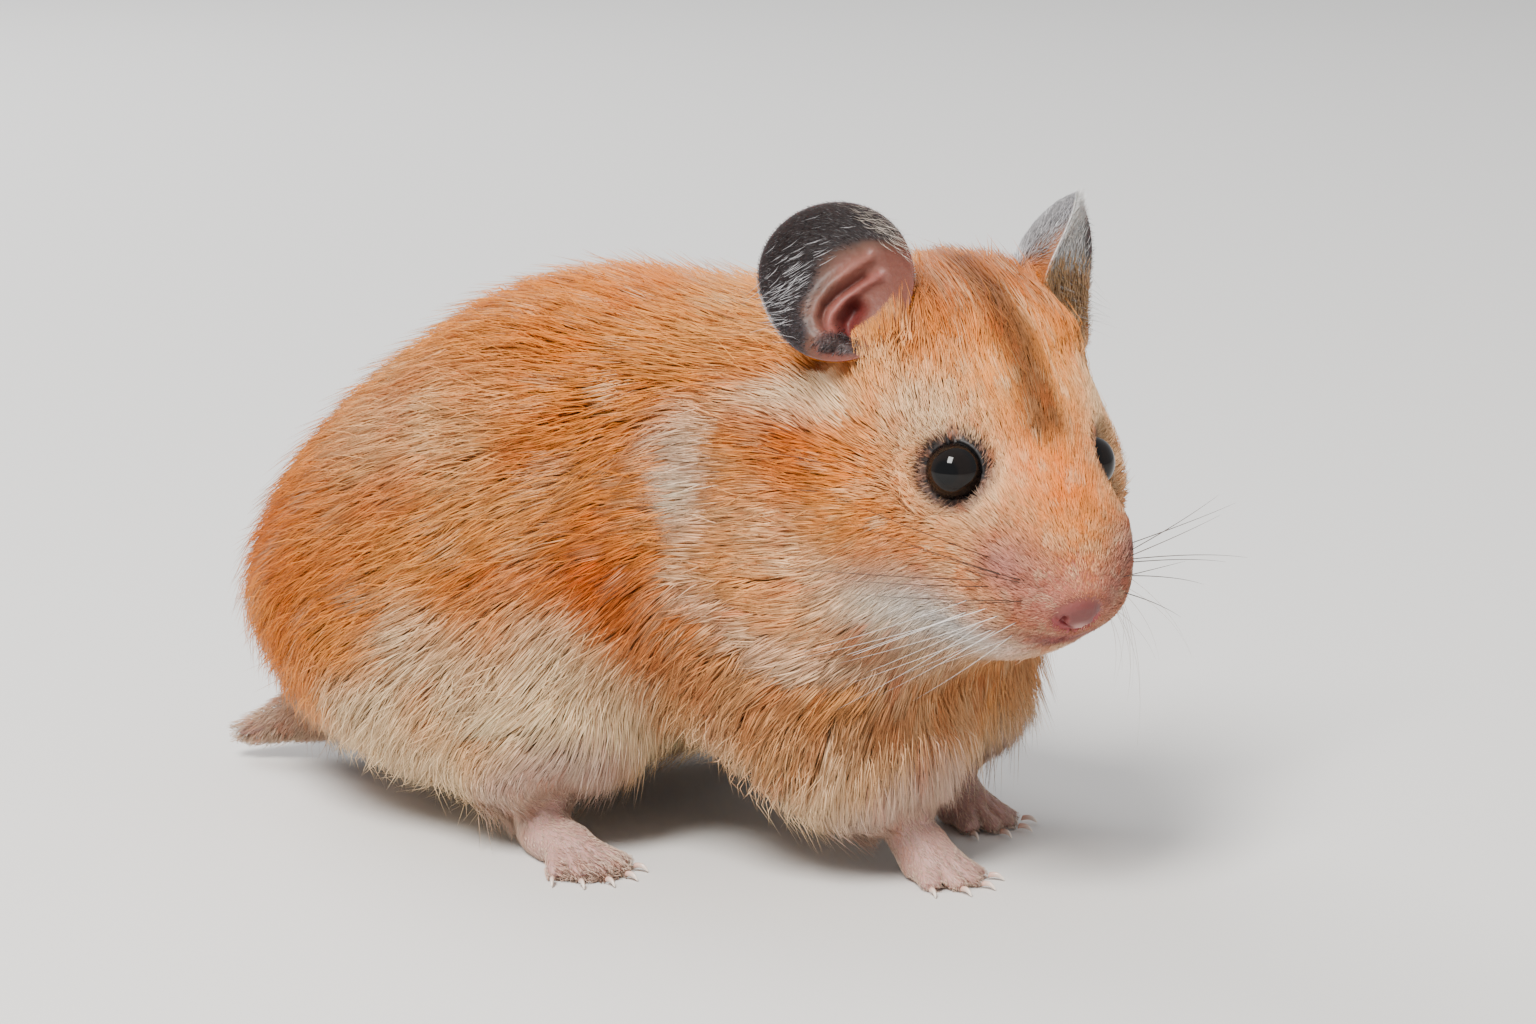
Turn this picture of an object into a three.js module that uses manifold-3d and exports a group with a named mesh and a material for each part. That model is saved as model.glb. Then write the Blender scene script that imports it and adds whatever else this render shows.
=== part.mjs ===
// A Syrian hamster crouching on all fours, its head turned to its right.
// Millimetres, +X towards the head, +Y to the animal's left, +Z up, floor at z = 0.
// Every solid reaches the tips of the coat, so their outline is the furred animal's.

import * as THREE from 'three';
import { mergeVertices } from 'three/addons/utils/BufferGeometryUtils.js';
import Module from 'manifold-3d';

const wasm = await Module();
wasm.setup();

// ---------------------------------------------------------------- driving dimensions

const GAP = 0.3; // clearance between neighbouring solids
const SIDES = { right: -1, left: 1 }; // sign of Y on each side of the body

// Trunk, with its coat
const TRUNK_HALF_WIDTH = 27.5;
const RUMP_X = -43;
const WAIST_X = -17;
const SHOULDER_X = 8;

// Head: a frame of its own at the middle of the braincase, x along the muzzle
const HEAD_AT = new THREE.Vector3(25, -6, 49);
const HEAD_YAW = THREE.MathUtils.degToRad(-23.8);
const HEAD_PITCH = THREE.MathUtils.degToRad(27.7);
const NOSE_REACH = 23.9;
const EYE_RADIUS = 3.0;
const EYE_AT = { x: 9.9, y: 8.6, z: 1.3 };

// Ears: shallow round bowls on the sides of the crown
const EAR_ROOT = { x: -7.3, y: 11.2, z: 9.7 };
const EAR_HALF_WIDTH = 8.7;
const EAR_HALF_HEIGHT = 8.4;
const EAR_RISE = 5; // from the root line to the middle of the bowl
const EAR_DEPTH = 4.2;
const EAR_CURL = 3.2; // how far the sides of the root curl forward
const EAR_LEAN = 1.2; // how far the rim leans forward
// How each ear is held: lowered about the head's x axis, then swung forward about its z axis
const EAR_POSE = { right: { drop: 0, swing: 0 }, left: { drop: 0.38, swing: 0.14 } };
const EAR_WALL = 1.0;
const EAR_THINNING = 0.35; // share of the wall that is lost towards the rim
const EAR_FLAT = { at: 2.6, width: 0.55, depth: 0.1 }; // the flatter stretch behind the rim
const EAR_CLEARANCE = 0.7; // between the foot of an ear and the form of the head

// Feet: sizes in the frame of the foot, x towards the toes, z up from the floor
const FORE_TOES = 4;
const HIND_TOES = 5;
const WRIST = { fore: [-2.5, 0, 5.2], hind: [-7.5, 0, 4.6] };
const SOLE = {
  fore: { middle: [1.2, 0, 1.85], radii: [3.9, 3.2, 2.3], tread: [0.5, 0, 2.2] },
  hind: { middle: [-2.4, 0, 2.05], radii: [7.4, 3.1, 2.4], tread: [-5.5, 0, 2.6] },
};
const TOE = {
  fore: { root: 3.0, length: 3.4, radius: 0.9, halfWidth: 2.4, spread: 0.45, taper: 0.15 },
  hind: { root: 3.4, length: 4.4, radius: 1.0, halfWidth: 2.8, spread: 0.5, taper: 0.3 },
};
const KNUCKLE = { arc: 1.2, height: 1.75 }; // how far the outer knuckles stand back, and how high
const TOE_LIFT = 0.12;
const ANKLE_RADIUS = 2.9;
const SOLE_SINK = 0.35; // how far the round pads pass the floor before they are cut flat
const CLAW = { length: 1.8, radius: 0.42, droop: 0.3 };

const TAIL_ROOT = new THREE.Vector3(-60, -3, 6.4);
const TAIL_TIP = new THREE.Vector3(-71.5, -10, 1.9);
const TAIL_RADII = [4.2, 1.5];

// Widths of the fillets that join the rounded masses
const FILLET = {
  trunk: 10, head: 5, limb: 6, body: 8, tail: 1.6,
};

// Mesh steps: the size of one facet on each part
const STEP = {
  trunk: 7.6, neck: 6, head: 3.05, ear: 2.8, leg: 5, nose: 1.5, tail: 2.8, noseCut: 2, tailCut: 3,
};
const WELD = 1e-4; // vertices closer than this are one
const BEYOND = 400; // a box side longer than the whole animal
const SINK = new THREE.Matrix4().makeTranslation(0, 0, -SOLE_SINK);

// ---------------------------------------------------------------- fields
// A field gives a signed distance at a point: below zero inside, above zero outside.

const vec = (x, y, z) => new THREE.Vector3(x, y, z);

function ellipsoid(centre, radii) {
  return (p) => {
    const x = (p.x - centre.x) / radii.x;
    const y = (p.y - centre.y) / radii.y;
    const z = (p.z - centre.z) / radii.z;
    const k0 = Math.hypot(x, y, z);
    const k1 = Math.hypot(x / radii.x, y / radii.y, z / radii.z);
    return k1 < 1e-9 ? -Math.min(radii.x, radii.y, radii.z) : (k0 * (k0 - 1)) / k1;
  };
}

// A cone with round ends, of radius ra at a and rb at b.
function roundCone(a, b, ra, rb) {
  const axis = b.clone().sub(a);
  const length = axis.length();
  axis.divideScalar(length);
  const slope = (ra - rb) / length;
  const lean = Math.sqrt(1 - slope * slope);
  const q = new THREE.Vector3();
  return (p) => {
    q.copy(p).sub(a);
    const along = q.dot(axis);
    const across = Math.sqrt(Math.max(0, q.lengthSq() - along * along));
    const k = along - (across * slope) / lean;
    if (k < 0) return Math.hypot(along, across) - ra;
    if (k > length) return Math.hypot(along - length, across) - rb;
    return across * lean + along * slope - ra;
  };
}

// Joins fields with a fillet about k wide.
function blend(k, ...fields) {
  return (p) => fields.reduce((d, field) => {
    const e = field(p);
    const h = Math.max(k - Math.abs(d - e), 0) / k;
    return Math.min(d, e) - (h * h * k) / 4;
  }, Infinity);
}

// Places a field that is written in another frame.
function placed(field, matrix) {
  const inverse = matrix.clone().invert();
  const q = new THREE.Vector3();
  return (p) => field(q.copy(p).applyMatrix4(inverse));
}

const both = (make) => Object.values(SIDES).map(make);

// ---------------------------------------------------------------- the animal's form

const headMatrix = new THREE.Matrix4()
  .makeRotationFromEuler(new THREE.Euler(0, HEAD_PITCH, HEAD_YAW, 'ZYX'))
  .setPosition(HEAD_AT);

const headForm = placed(blend(
  FILLET.head,
  ellipsoid(vec(-5, 0, 0), vec(15.5, 13.5, 13)), // braincase
  ...both((s) => ellipsoid(vec(-6, s * 8, 5), vec(7.8, 5.8, 7))), // roots of the ears
  roundCone(vec(7, 0, -2.6), vec(16, 0, -6.2), 10, 7.4), // muzzle
  roundCone(vec(15, 0, -5), vec(NOSE_REACH - 3.2, 0, -6.8), 5.5, 3.2), // nose
  ...both((s) => ellipsoid(vec(-1, s * 9.2, -6.2), vec(13, 8.6, 9.5))), // cheeks
  ...both((s) => ellipsoid(vec(15, s * 5.2, -8.8), vec(6.8, 5.2, 5.2))), // whisker pads
  ellipsoid(vec(10, 0, -12.8), vec(11.5, 7.5, 6)), // lower jaw
), headMatrix);

// A hollow in front of each ear, where its bowl runs into the head.
const EAR_HOLLOW = { at: vec(1.2, 2.8, 4.6), radius: 6.9 };
const hollows = both((s) => EAR_HOLLOW.at.clone().applyMatrix4(earMatrix(s)));
const hollowForm = (p) => Math.min(...hollows.map((middle) => p.distanceTo(middle))) - EAR_HOLLOW.radius;

const trunkForm = blend(
  FILLET.trunk,
  ellipsoid(vec(RUMP_X, 0, 20.6), vec(25, TRUNK_HALF_WIDTH - 2.5, 16.4)),
  ellipsoid(vec(RUMP_X + 6, 0, 27), vec(26, TRUNK_HALF_WIDTH - 1, 24)),
  ellipsoid(vec(WAIST_X, 0, 33), vec(27, TRUNK_HALF_WIDTH - 0.5, 25.2)),
  ellipsoid(vec(-25, 0, 36), vec(21, 22, 22)), // hump of the back
  ellipsoid(vec(SHOULDER_X, -1, 33), vec(18.5, 22, 24)),
  ellipsoid(vec(12, -2, 27), vec(11.5, 15, 16)), // chest
);

const neckForm = roundCone(vec(0, 0, 43), vec(16, -3.5, 46), 17, 14.5);

// Where each limb stands: the two sides differ a little, as in a live animal.
const LIMBS = [
  { kind: 'fore', name: 'right', side: -1, at: vec(21, -8.5, 0), turn: -0.3, toes: FORE_TOES },
  { kind: 'fore', name: 'left', side: 1, at: vec(13.5, 12, 0), turn: -0.2, toes: FORE_TOES },
  { kind: 'hind', name: 'right', side: -1, at: vec(-13.5, -24.5, 0), turn: -0.5, toes: HIND_TOES },
  { kind: 'hind', name: 'left', side: 1, at: vec(-15, 23, 0), turn: 0.4, toes: HIND_TOES },
];

for (const limb of LIMBS) {
  limb.matrix = new THREE.Matrix4().makeRotationZ(limb.turn).setPosition(limb.at);
  limb.joint = vec(...WRIST[limb.kind]).applyMatrix4(limb.matrix);
}

// The upper limb: a rounded mass on the trunk and a taper down to the wrist or ankle.
const MASS = {
  fore: { x: 9, y: 14.5, z: 25, radii: vec(12, 9, 15) },
  hind: { x: -30, y: 19, z: 18, radii: vec(19, 10, 13.5) },
};
const TAPER = { fore: vec(11, 15, 15), hind: vec(-21, 22, 13) };
const TAPER_RADII = [7.5, 3.1];

for (const limb of LIMBS) {
  const { x, y, z } = MASS[limb.kind];
  limb.mass = vec(x, limb.side * y, z);
  limb.start = TAPER[limb.kind].clone().multiply(vec(1, limb.side, 1));
}

function upperLimb({ kind, mass, start, joint }) {
  return blend(FILLET.limb, ellipsoid(mass, MASS[kind].radii), roundCone(start, joint, ...TAPER_RADII));
}

// A toe in the frame of its foot: from the knuckle at a to the tip at b.
function toeOf(kind, toes, i) {
  const fan = (i / (toes - 1)) * 2 - 1; // from -1 on one edge of the foot to 1 on the other
  const size = TOE[kind];
  const angle = fan * size.spread;
  const length = size.length * (1 - size.taper * fan * fan);
  const a = vec(size.root - KNUCKLE.arc * fan * fan, fan * size.halfWidth, KNUCKLE.height);
  const b = vec(length * Math.cos(angle), length * Math.sin(angle), 0).add(a);
  b.z = size.radius + TOE_LIFT;
  return { a, b, angle, radius: size.radius };
}

const tailForm = (margin = 0) => roundCone(TAIL_ROOT, TAIL_TIP, ...TAIL_RADII.map((r) => r + margin));

const furredForm = blend(
  FILLET.body,
  trunkForm,
  neckForm,
  headForm,
  ...LIMBS.map(upperLimb),
);
const bodyForm = (p) => Math.max(furredForm(p), -hollowForm(p));
const tailedForm = blend(FILLET.tail, bodyForm, tailForm());

// ---------------------------------------------------------------- meshing

// Meshes the zero surface of a field inside a box as one closed net of quads: a vertex in
// each grid cell that the surface crosses, slid onto the surface, and a quad for each grid
// edge that it crosses. The faces of the box close the net.
function netOf(field, box, step) {
  const closed = (p) => Math.max(field(p), -depthIn(box, p));
  const low = box.min.clone().subScalar(step * 1.5);
  const count = box.getSize(vec()).divideScalar(step).ceil().addScalar(4);
  const stride = [1, count.x, count.x * count.y];
  const values = new Float32Array(count.x * count.y * count.z);
  const p = vec();
  const pointAt = (i, j, k) => p.set(i, j, k).multiplyScalar(step).add(low);
  for (let k = 0; k < count.z; k += 1) {
    for (let j = 0; j < count.y; j += 1) {
      for (let i = 0; i < count.x; i += 1) {
        values[i + j * stride[1] + k * stride[2]] = closed(pointAt(i, j, k));
      }
    }
  }
  const corners = [0, 1, 2, 3, 4, 5, 6, 7].map((c) => [c & 1, (c >> 1) & 1, c >> 2]);
  const positions = [];
  const cellVertex = new Map();
  for (let k = 0; k < count.z - 1; k += 1) {
    for (let j = 0; j < count.y - 1; j += 1) {
      for (let i = 0; i < count.x - 1; i += 1) {
        const cell = i + j * stride[1] + k * stride[2];
        const crossing = crossingOf(values, cell, stride, corners);
        if (!crossing) continue;
        const vertex = crossing.add(vec(i, j, k)).multiplyScalar(step).add(low);
        settle(vertex, closed, step);
        cellVertex.set(cell, positions.length / 3);
        positions.push(vertex.x, vertex.y, vertex.z);
      }
    }
  }
  const triangles = [];
  for (let axis = 0; axis < 3; axis += 1) {
    const s = stride[axis];
    const u = stride[(axis + 1) % 3];
    const v = stride[(axis + 2) % 3];
    for (const cell of cellVertex.keys()) {
      const here = values[cell] < 0;
      if (here === values[cell + s] < 0) continue;
      const quad = [cell - u - v, cell - v, cell, cell - u].map((c) => cellVertex.get(c));
      if (quad.includes(undefined)) continue;
      if (!here) quad.reverse();
      triangles.push(quad[0], quad[1], quad[2], quad[0], quad[2], quad[3]);
    }
  }
  return geometryOf(positions, triangles);
}

const depthIn = (box, p) => Math.min(
  p.x - box.min.x, p.y - box.min.y, p.z - box.min.z,
  box.max.x - p.x, box.max.y - p.y, box.max.z - p.z,
);

// The mean of the points where the surface crosses the edges of a cell, in cell units.
function crossingOf(values, cell, stride, corners) {
  const at = corners.map(([x, y, z]) => values[cell + x + y * stride[1] + z * stride[2]]);
  const sum = vec();
  let hits = 0;
  for (let c = 0; c < 8; c += 1) {
    for (let axis = 0; axis < 3; axis += 1) {
      const d = c | (1 << axis);
      if (d === c || at[c] < 0 === at[d] < 0) continue;
      const t = at[c] / (at[c] - at[d]);
      sum.add(vec(...corners[c]).lerp(vec(...corners[d]), t));
      hits += 1;
    }
  }
  return hits ? sum.divideScalar(hits) : null;
}

// Moves a vertex along the gradient onto the surface, by less than half a step.
function settle(vertex, field, step) {
  const reach = step * 0.4;
  const e = 0.02; // for the slope of the field
  const start = vertex.clone();
  for (let round = 0; round < 3; round += 1) {
    const d = field(vertex);
    const gradient = vec(
      field(vertex.clone().add(vec(e, 0, 0))) - d,
      field(vertex.clone().add(vec(0, e, 0))) - d,
      field(vertex.clone().add(vec(0, 0, e))) - d,
    ).divideScalar(e);
    vertex.addScaledVector(gradient, -d / Math.max(gradient.lengthSq(), 0.25));
  }
  vertex.sub(start).clampLength(0, reach).add(start);
}

function geometryOf(positions, triangles) {
  const geometry = new THREE.BufferGeometry();
  geometry.setAttribute('position', new THREE.Float32BufferAttribute(positions, 3));
  geometry.setIndex(Array.from(triangles));
  return geometry;
}

// ---------------------------------------------------------------- joining and cutting

function solidOf(geometry) {
  const bare = geometry.clone();
  bare.deleteAttribute('normal');
  bare.deleteAttribute('uv');
  const merged = mergeVertices(bare, WELD);
  return new wasm.Manifold(new wasm.Mesh({
    numProp: 3,
    vertProperties: new Float32Array(merged.attributes.position.array),
    triVerts: new Uint32Array(merged.index.array),
  }));
}

function geometryFrom(solid) {
  const { vertProperties, triVerts } = solid.getMesh();
  return geometryOf(vertProperties, triVerts);
}

// Everything on the side of a plane that its direction points to.
function halfSpace(point, direction, shift = 0) {
  const geometry = new THREE.BoxGeometry(BEYOND, BEYOND, BEYOND);
  geometry.translate(0, 0, BEYOND / 2 + shift);
  const turn = new THREE.Quaternion().setFromUnitVectors(vec(0, 0, 1), direction);
  geometry.applyQuaternion(turn);
  geometry.translate(point.x, point.y, point.z);
  return solidOf(geometry);
}

const around = (points, margin) => new THREE.Box3().setFromPoints(points).expandByScalar(margin);

// The largest of the closed pieces of a solid: slivers off a cut are dropped.
function mainPiece(solid) {
  return solid.decompose().reduce((a, b) => (a.volume() > b.volume() ? a : b));
}

// ---------------------------------------------------------------- dividing the body

// Planes between head, neck and trunk, leaning forward from the nape down to the throat.
const NECK_AXIS = vec(0.853, -0.229, 0.468).normalize();
const HEAD_PLANE = vec(24, -5, 28);
const NECK_LENGTH = 9;
const NECK_PLANE = HEAD_PLANE.clone().addScaledVector(NECK_AXIS, -NECK_LENGTH);
const FOOT_CUT = {
  fore: { top: 5.0, middle: 2, half: vec(12, 7.5, 0) },
  hind: { top: 4.6, middle: -2, half: vec(18, 8, 0) },
};
const FOOT_CUT_DEPTH = 6; // how far the cut reaches below the floor
// The parting surface lies this far outside a limb: all round, across and outwards
const LIMB_CUT = { margin: 1.6, across: 2, outward: 5, down: 1, pastRoot: 2, pastWrist: 6, swell: 1.08 };
const TAIL_CUT = { margin: 0.8, box: 9 };
const NOSE_CUT = { radii: vec(2.6, 3.0, 2.6), box: 5 };
const floorUp = halfSpace(vec(0, 0, 0), vec(0, 0, 1));

// Boxes and reaches that hold the stretch of the form that a part is meshed from
const WHOLE_BOX = new THREE.Box3(vec(-82, -42, -4), vec(52, 42, 84));
const NECK_BOX = new THREE.Box3(vec(-20, -30, 4), vec(40, 30, 74));
const HEAD_REACH = 22;
const LIMB_REACH = 24;
const EAR_REACH = 19;

function footBox({ kind, matrix }, grow = 0) {
  const { top, middle, half } = FOOT_CUT[kind];
  const height = top + FOOT_CUT_DEPTH + 2 * grow;
  const geometry = new THREE.BoxGeometry(2 * (half.x + grow), 2 * (half.y + grow), height);
  geometry.translate(middle, 0, (top - FOOT_CUT_DEPTH) / 2);
  return solidOf(geometry.applyMatrix4(matrix));
}

// What parts an upper limb from the trunk: a little larger than the limb's own form.
function limbRegion({ kind, side, mass, start, joint }, grow = 0) {
  const more = LIMB_CUT.margin + grow;
  const ball = new THREE.SphereGeometry(1, 12, 8);
  const { radii } = MASS[kind];
  ball.scale(radii.x + more, radii.y + LIMB_CUT.across + more, radii.z + more);
  ball.translate(mass.x, mass.y + side * LIMB_CUT.outward, mass.z - LIMB_CUT.down);
  const axis = joint.clone().sub(start);
  const length = axis.length() + LIMB_CUT.pastRoot + LIMB_CUT.pastWrist + 2 * grow;
  const [wide, narrow] = TAPER_RADII.map((r) => r * LIMB_CUT.swell + more);
  const sleeve = new THREE.CylinderGeometry(narrow, wide, length, 10);
  sleeve.translate(0, length / 2 - LIMB_CUT.pastRoot - grow, 0);
  sleeve.applyQuaternion(new THREE.Quaternion().setFromUnitVectors(vec(0, 1, 0), axis.normalize()));
  return solidOf(ball).add(solidOf(sleeve.translate(start.x, start.y, start.z)));
}

const headSide = (grow = 0) => halfSpace(HEAD_PLANE, NECK_AXIS, -grow);
const neckSide = (grow = 0) => halfSpace(NECK_PLANE, NECK_AXIS, -grow);
const tailBox = around([TAIL_ROOT, TAIL_TIP], TAIL_CUT.box);
const tailRegion = (grow = 0) => solidOf(netOf(tailForm(TAIL_CUT.margin + grow), tailBox, STEP.tailCut));

const eyeAt = (s) => vec(EYE_AT.x, s * EYE_AT.y, EYE_AT.z).applyMatrix4(headMatrix);
const eyeBall = (s, grow = 0) => new THREE.SphereGeometry(EYE_RADIUS + grow, 12, 8)
  .applyMatrix4(headMatrix.clone().setPosition(eyeAt(s)));

const noseTip = vec(NOSE_REACH + 0.2, 0, -6.6);
const noseRegionForm = placed(ellipsoid(noseTip, NOSE_CUT.radii), headMatrix);
const noseAt = noseTip.clone().applyMatrix4(headMatrix);
const noseBox = around([noseAt], NOSE_CUT.box);
const noseRegion = (grow = 0) => solidOf(netOf((p) => noseRegionForm(p) - grow, noseBox, STEP.noseCut));

// ---------------------------------------------------------------- the sub-parts

const COLOURS = {
  coat: 0xcd8241, cream: 0xe1c3a5, foot: 0xdba6a0, ear: 0x5a4c49, eye: 0x0c0a0a, nose: 0xcf8583,
  claw: 0xe6d6cc,
};

const animal = new THREE.Group();

function addPart(name, geometry, colour, roughness = 0.85) {
  const material = new THREE.MeshStandardMaterial({ color: COLOURS[colour], roughness, metalness: 0 });
  const mesh = new THREE.Mesh(geometry, material);
  mesh.name = name;
  animal.add(mesh);
}

function buildHead() {
  const box = around([HEAD_AT, noseAt], HEAD_REACH);
  let head = solidOf(netOf(bodyForm, box, STEP.head)).intersect(headSide());
  for (const s of Object.values(SIDES)) head = head.subtract(solidOf(eyeBall(s, GAP)));
  addPart('head', geometryFrom(mainPiece(head.subtract(noseRegion(GAP)))), 'coat');
  const nose = solidOf(netOf(bodyForm, noseBox, STEP.nose)).intersect(noseRegion());
  addPart('nose', geometryFrom(mainPiece(nose)), 'nose', 0.5);
  for (const [name, s] of Object.entries(SIDES)) {
    addPart(`eye_${name}`, geometryFrom(solidOf(eyeBall(s))), 'eye', 0.05);
  }
}

function buildNeck(limbs) {
  let neck = solidOf(netOf(bodyForm, NECK_BOX, STEP.neck)).intersect(neckSide()).subtract(headSide(GAP));
  for (const limb of limbs) neck = neck.subtract(limb);
  addPart('neck', geometryFrom(mainPiece(neck)), 'coat');
}

function buildTrunk(limbs, feet) {
  let trunk = solidOf(netOf(bodyForm, WHOLE_BOX, STEP.trunk)).subtract(neckSide(GAP));
  for (const other of [...limbs, ...feet, tailRegion(GAP)]) trunk = trunk.subtract(other);
  addPart('trunk', geometryFrom(mainPiece(trunk.intersect(floorUp))), 'coat');
}

function buildTail() {
  const tail = solidOf(netOf(tailedForm, tailBox, STEP.tail)).intersect(tailRegion());
  addPart('tail', geometryFrom(mainPiece(tail)), 'foot');
}

function buildLimb(limb) {
  const { kind, name } = limb;
  const upperBox = around([limb.joint, limb.mass], LIMB_REACH);
  const upper = solidOf(netOf(bodyForm, upperBox, STEP.leg))
    .intersect(limbRegion(limb)).subtract(footBox(limb, GAP)).subtract(headSide(GAP));
  addPart(`${kind}leg_${name}`, geometryFrom(mainPiece(upper)), 'coat');
  const foot = footSolid(limb).intersect(footBox(limb)).intersect(floorUp);
  addPart(`${kind}foot_${name}`, geometryFrom(mainPiece(foot)), 'foot', 0.7);
  addClaws(limb);
}

// A rod with round ends from a to b.
function rod(a, b, radius, sides = 7) {
  const axis = b.clone().sub(a);
  const geometry = new THREE.CapsuleGeometry(radius, axis.length(), 2, sides);
  const middle = a.clone().add(b).divideScalar(2);
  geometry.applyQuaternion(new THREE.Quaternion().setFromUnitVectors(vec(0, 1, 0), axis.normalize()));
  return solidOf(geometry.translate(middle.x, middle.y, middle.z));
}

// Ankle, sole and toes joined, sunk a little so that the pads are cut flat on the floor.
function footSolid({ kind, toes, matrix }) {
  const { middle, radii, tread } = SOLE[kind];
  const sole = new THREE.SphereGeometry(1, 10, 7).scale(...radii).translate(...middle);
  let foot = solidOf(sole).add(rod(vec(...WRIST[kind]), vec(...tread), ANKLE_RADIUS));
  for (let i = 0; i < toes; i += 1) {
    const { a, b, radius } = toeOf(kind, toes, i);
    foot = foot.add(rod(a, b, radius, 5));
  }
  return foot.transform(matrix.clone().multiply(SINK).elements);
}

// A claw ahead of each toe, leaning down but clear of the floor.
function addClaws({ kind, name, toes, matrix }) {
  for (let i = 0; i < toes; i += 1) {
    const { b, angle, radius } = toeOf(kind, toes, i);
    const claw = new THREE.ConeGeometry(CLAW.radius, CLAW.length, 6);
    claw.rotateZ(-Math.PI / 2).translate(radius + GAP + CLAW.length / 2, 0, 0);
    claw.rotateY(CLAW.droop).rotateZ(angle).translate(b.x, b.y, b.z);
    const solid = solidOf(claw.applyMatrix4(matrix));
    addPart(`claw_${kind}foot_${name}_${i + 1}`, geometryFrom(solid), 'claw', 0.4);
  }
}

// An ear: a round bowl turned about its opening, flattened behind and set on the crown.
function buildEar(name, side) {
  const rings = 4;
  const innerRim = 0.97; // the inner face ends a little inside the outer one
  const profile = [];
  const wallAt = (t) => EAR_WALL * (1 - EAR_THINNING * t * t);
  const bowl = (t) => -EAR_DEPTH * (1 - t * t);
  for (let i = 0; i <= rings; i += 1) {
    const t = i / rings;
    profile.push(new THREE.Vector2(t, bowl(t) - wallAt(t) / 2));
  }
  for (let i = rings; i >= 0; i -= 1) {
    const t = (i / rings) * innerRim;
    profile.push(new THREE.Vector2(t, bowl(t) + wallAt(t) / 2));
  }
  const geometry = new THREE.LatheGeometry(profile, 18);
  const place = earMatrix(side);
  const points = geometry.attributes.position;
  const p = vec();
  for (let i = 0; i < points.count; i += 1) {
    p.fromBufferAttribute(points, i);
    const angle = Math.atan2(p.z, p.x);
    const flat = 1 - EAR_FLAT.depth * Math.exp(-(((angle - EAR_FLAT.at) / EAR_FLAT.width) ** 2));
    const rise = (p.z * EAR_HALF_HEIGHT * flat + EAR_RISE) / (EAR_RISE + EAR_HALF_HEIGHT);
    const curl = EAR_CURL * p.x * p.x * (1 - rise) + EAR_LEAN * rise * Math.abs(rise);
    p.set(p.x * EAR_HALF_WIDTH * flat, rise * (EAR_RISE + EAR_HALF_HEIGHT), p.y + curl);
    p.applyMatrix4(place);
    points.setXYZ(i, p.x, p.y, p.z);
  }
  let solid = solidOf(turnedOut(geometry));
  const root = vec(EAR_ROOT.x, side * EAR_ROOT.y, EAR_ROOT.z).applyMatrix4(headMatrix);
  const near = solidOf(netOf((q) => bodyForm(q) - EAR_CLEARANCE, around([root], EAR_REACH), STEP.ear));
  solid = solid.subtract(near);
  addPart(`ear_${name}`, geometryFrom(mainPiece(solid)), 'ear', 0.6);
}

// The frame of an ear: x along its root towards the crown, y from root to rim, z out of the bowl.
function earMatrix(side) {
  const up = vec(-0.749, side * 0.626, 0.215).normalize();
  const opening = vec(0.602, side * 0.502, 0.622).normalize();
  const root = vec(0, 0, 0).crossVectors(opening, up).multiplyScalar(side);
  const { drop, swing } = side > 0 ? EAR_POSE.left : EAR_POSE.right;
  const frame = new THREE.Matrix4().makeRotationFromEuler(
    new THREE.Euler(-side * drop, 0, -side * swing, 'ZYX'),
  );
  frame.multiply(new THREE.Matrix4().makeBasis(root, up, opening));
  frame.setPosition(EAR_ROOT.x, side * EAR_ROOT.y, EAR_ROOT.z);
  return headMatrix.clone().multiply(frame);
}

// Makes the faces of a closed geometry point out.
function turnedOut(geometry) {
  const merged = geometry.clone();
  merged.deleteAttribute('normal');
  merged.deleteAttribute('uv');
  const result = mergeVertices(merged, WELD);
  const at = result.attributes.position;
  const index = result.index.array;
  const [a, b, c] = [vec(), vec(), vec()];
  let volume = 0;
  for (let i = 0; i < index.length; i += 3) {
    a.fromBufferAttribute(at, index[i]);
    b.fromBufferAttribute(at, index[i + 1]);
    c.fromBufferAttribute(at, index[i + 2]);
    volume += a.dot(b.cross(c));
  }
  if (volume < 0) index.reverse();
  return result;
}

const limbSolids = LIMBS.map((limb) => limbRegion(limb, GAP));
const footSolids = LIMBS.map((limb) => footBox(limb, GAP));
buildHead();
buildNeck(limbSolids);
buildTrunk(limbSolids, footSolids);
buildTail();
LIMBS.forEach(buildLimb);
for (const [name, side] of Object.entries(SIDES)) buildEar(name, side);

// The origin is the middle of the animal's box, on the floor.
const extent = new THREE.Box3().setFromObject(animal);
animal.position.set(-(extent.min.x + extent.max.x) / 2, -(extent.min.y + extent.max.y) / 2, 0);
animal.updateMatrixWorld(true);

export default animal;
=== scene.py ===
"""A Syrian hamster crouching on all fours, its head turned to its right.

One skin replaces the solids of flesh and lies inside them by the depth of the coat, and the
coat stands on it as solid tufts whose tips reach the solids' outline. Lengths are in
millimetres in the frame of the solids, and become metres as meshes are made. "Head frame"
means x to the nose, y to the animal's left and z up, from a point between the eyes.
"""

import math

import bmesh
import bpy
import numpy as np
from mathutils import Matrix, Vector
from mathutils.bvhtree import BVHTree
from mathutils.kdtree import KDTree


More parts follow.
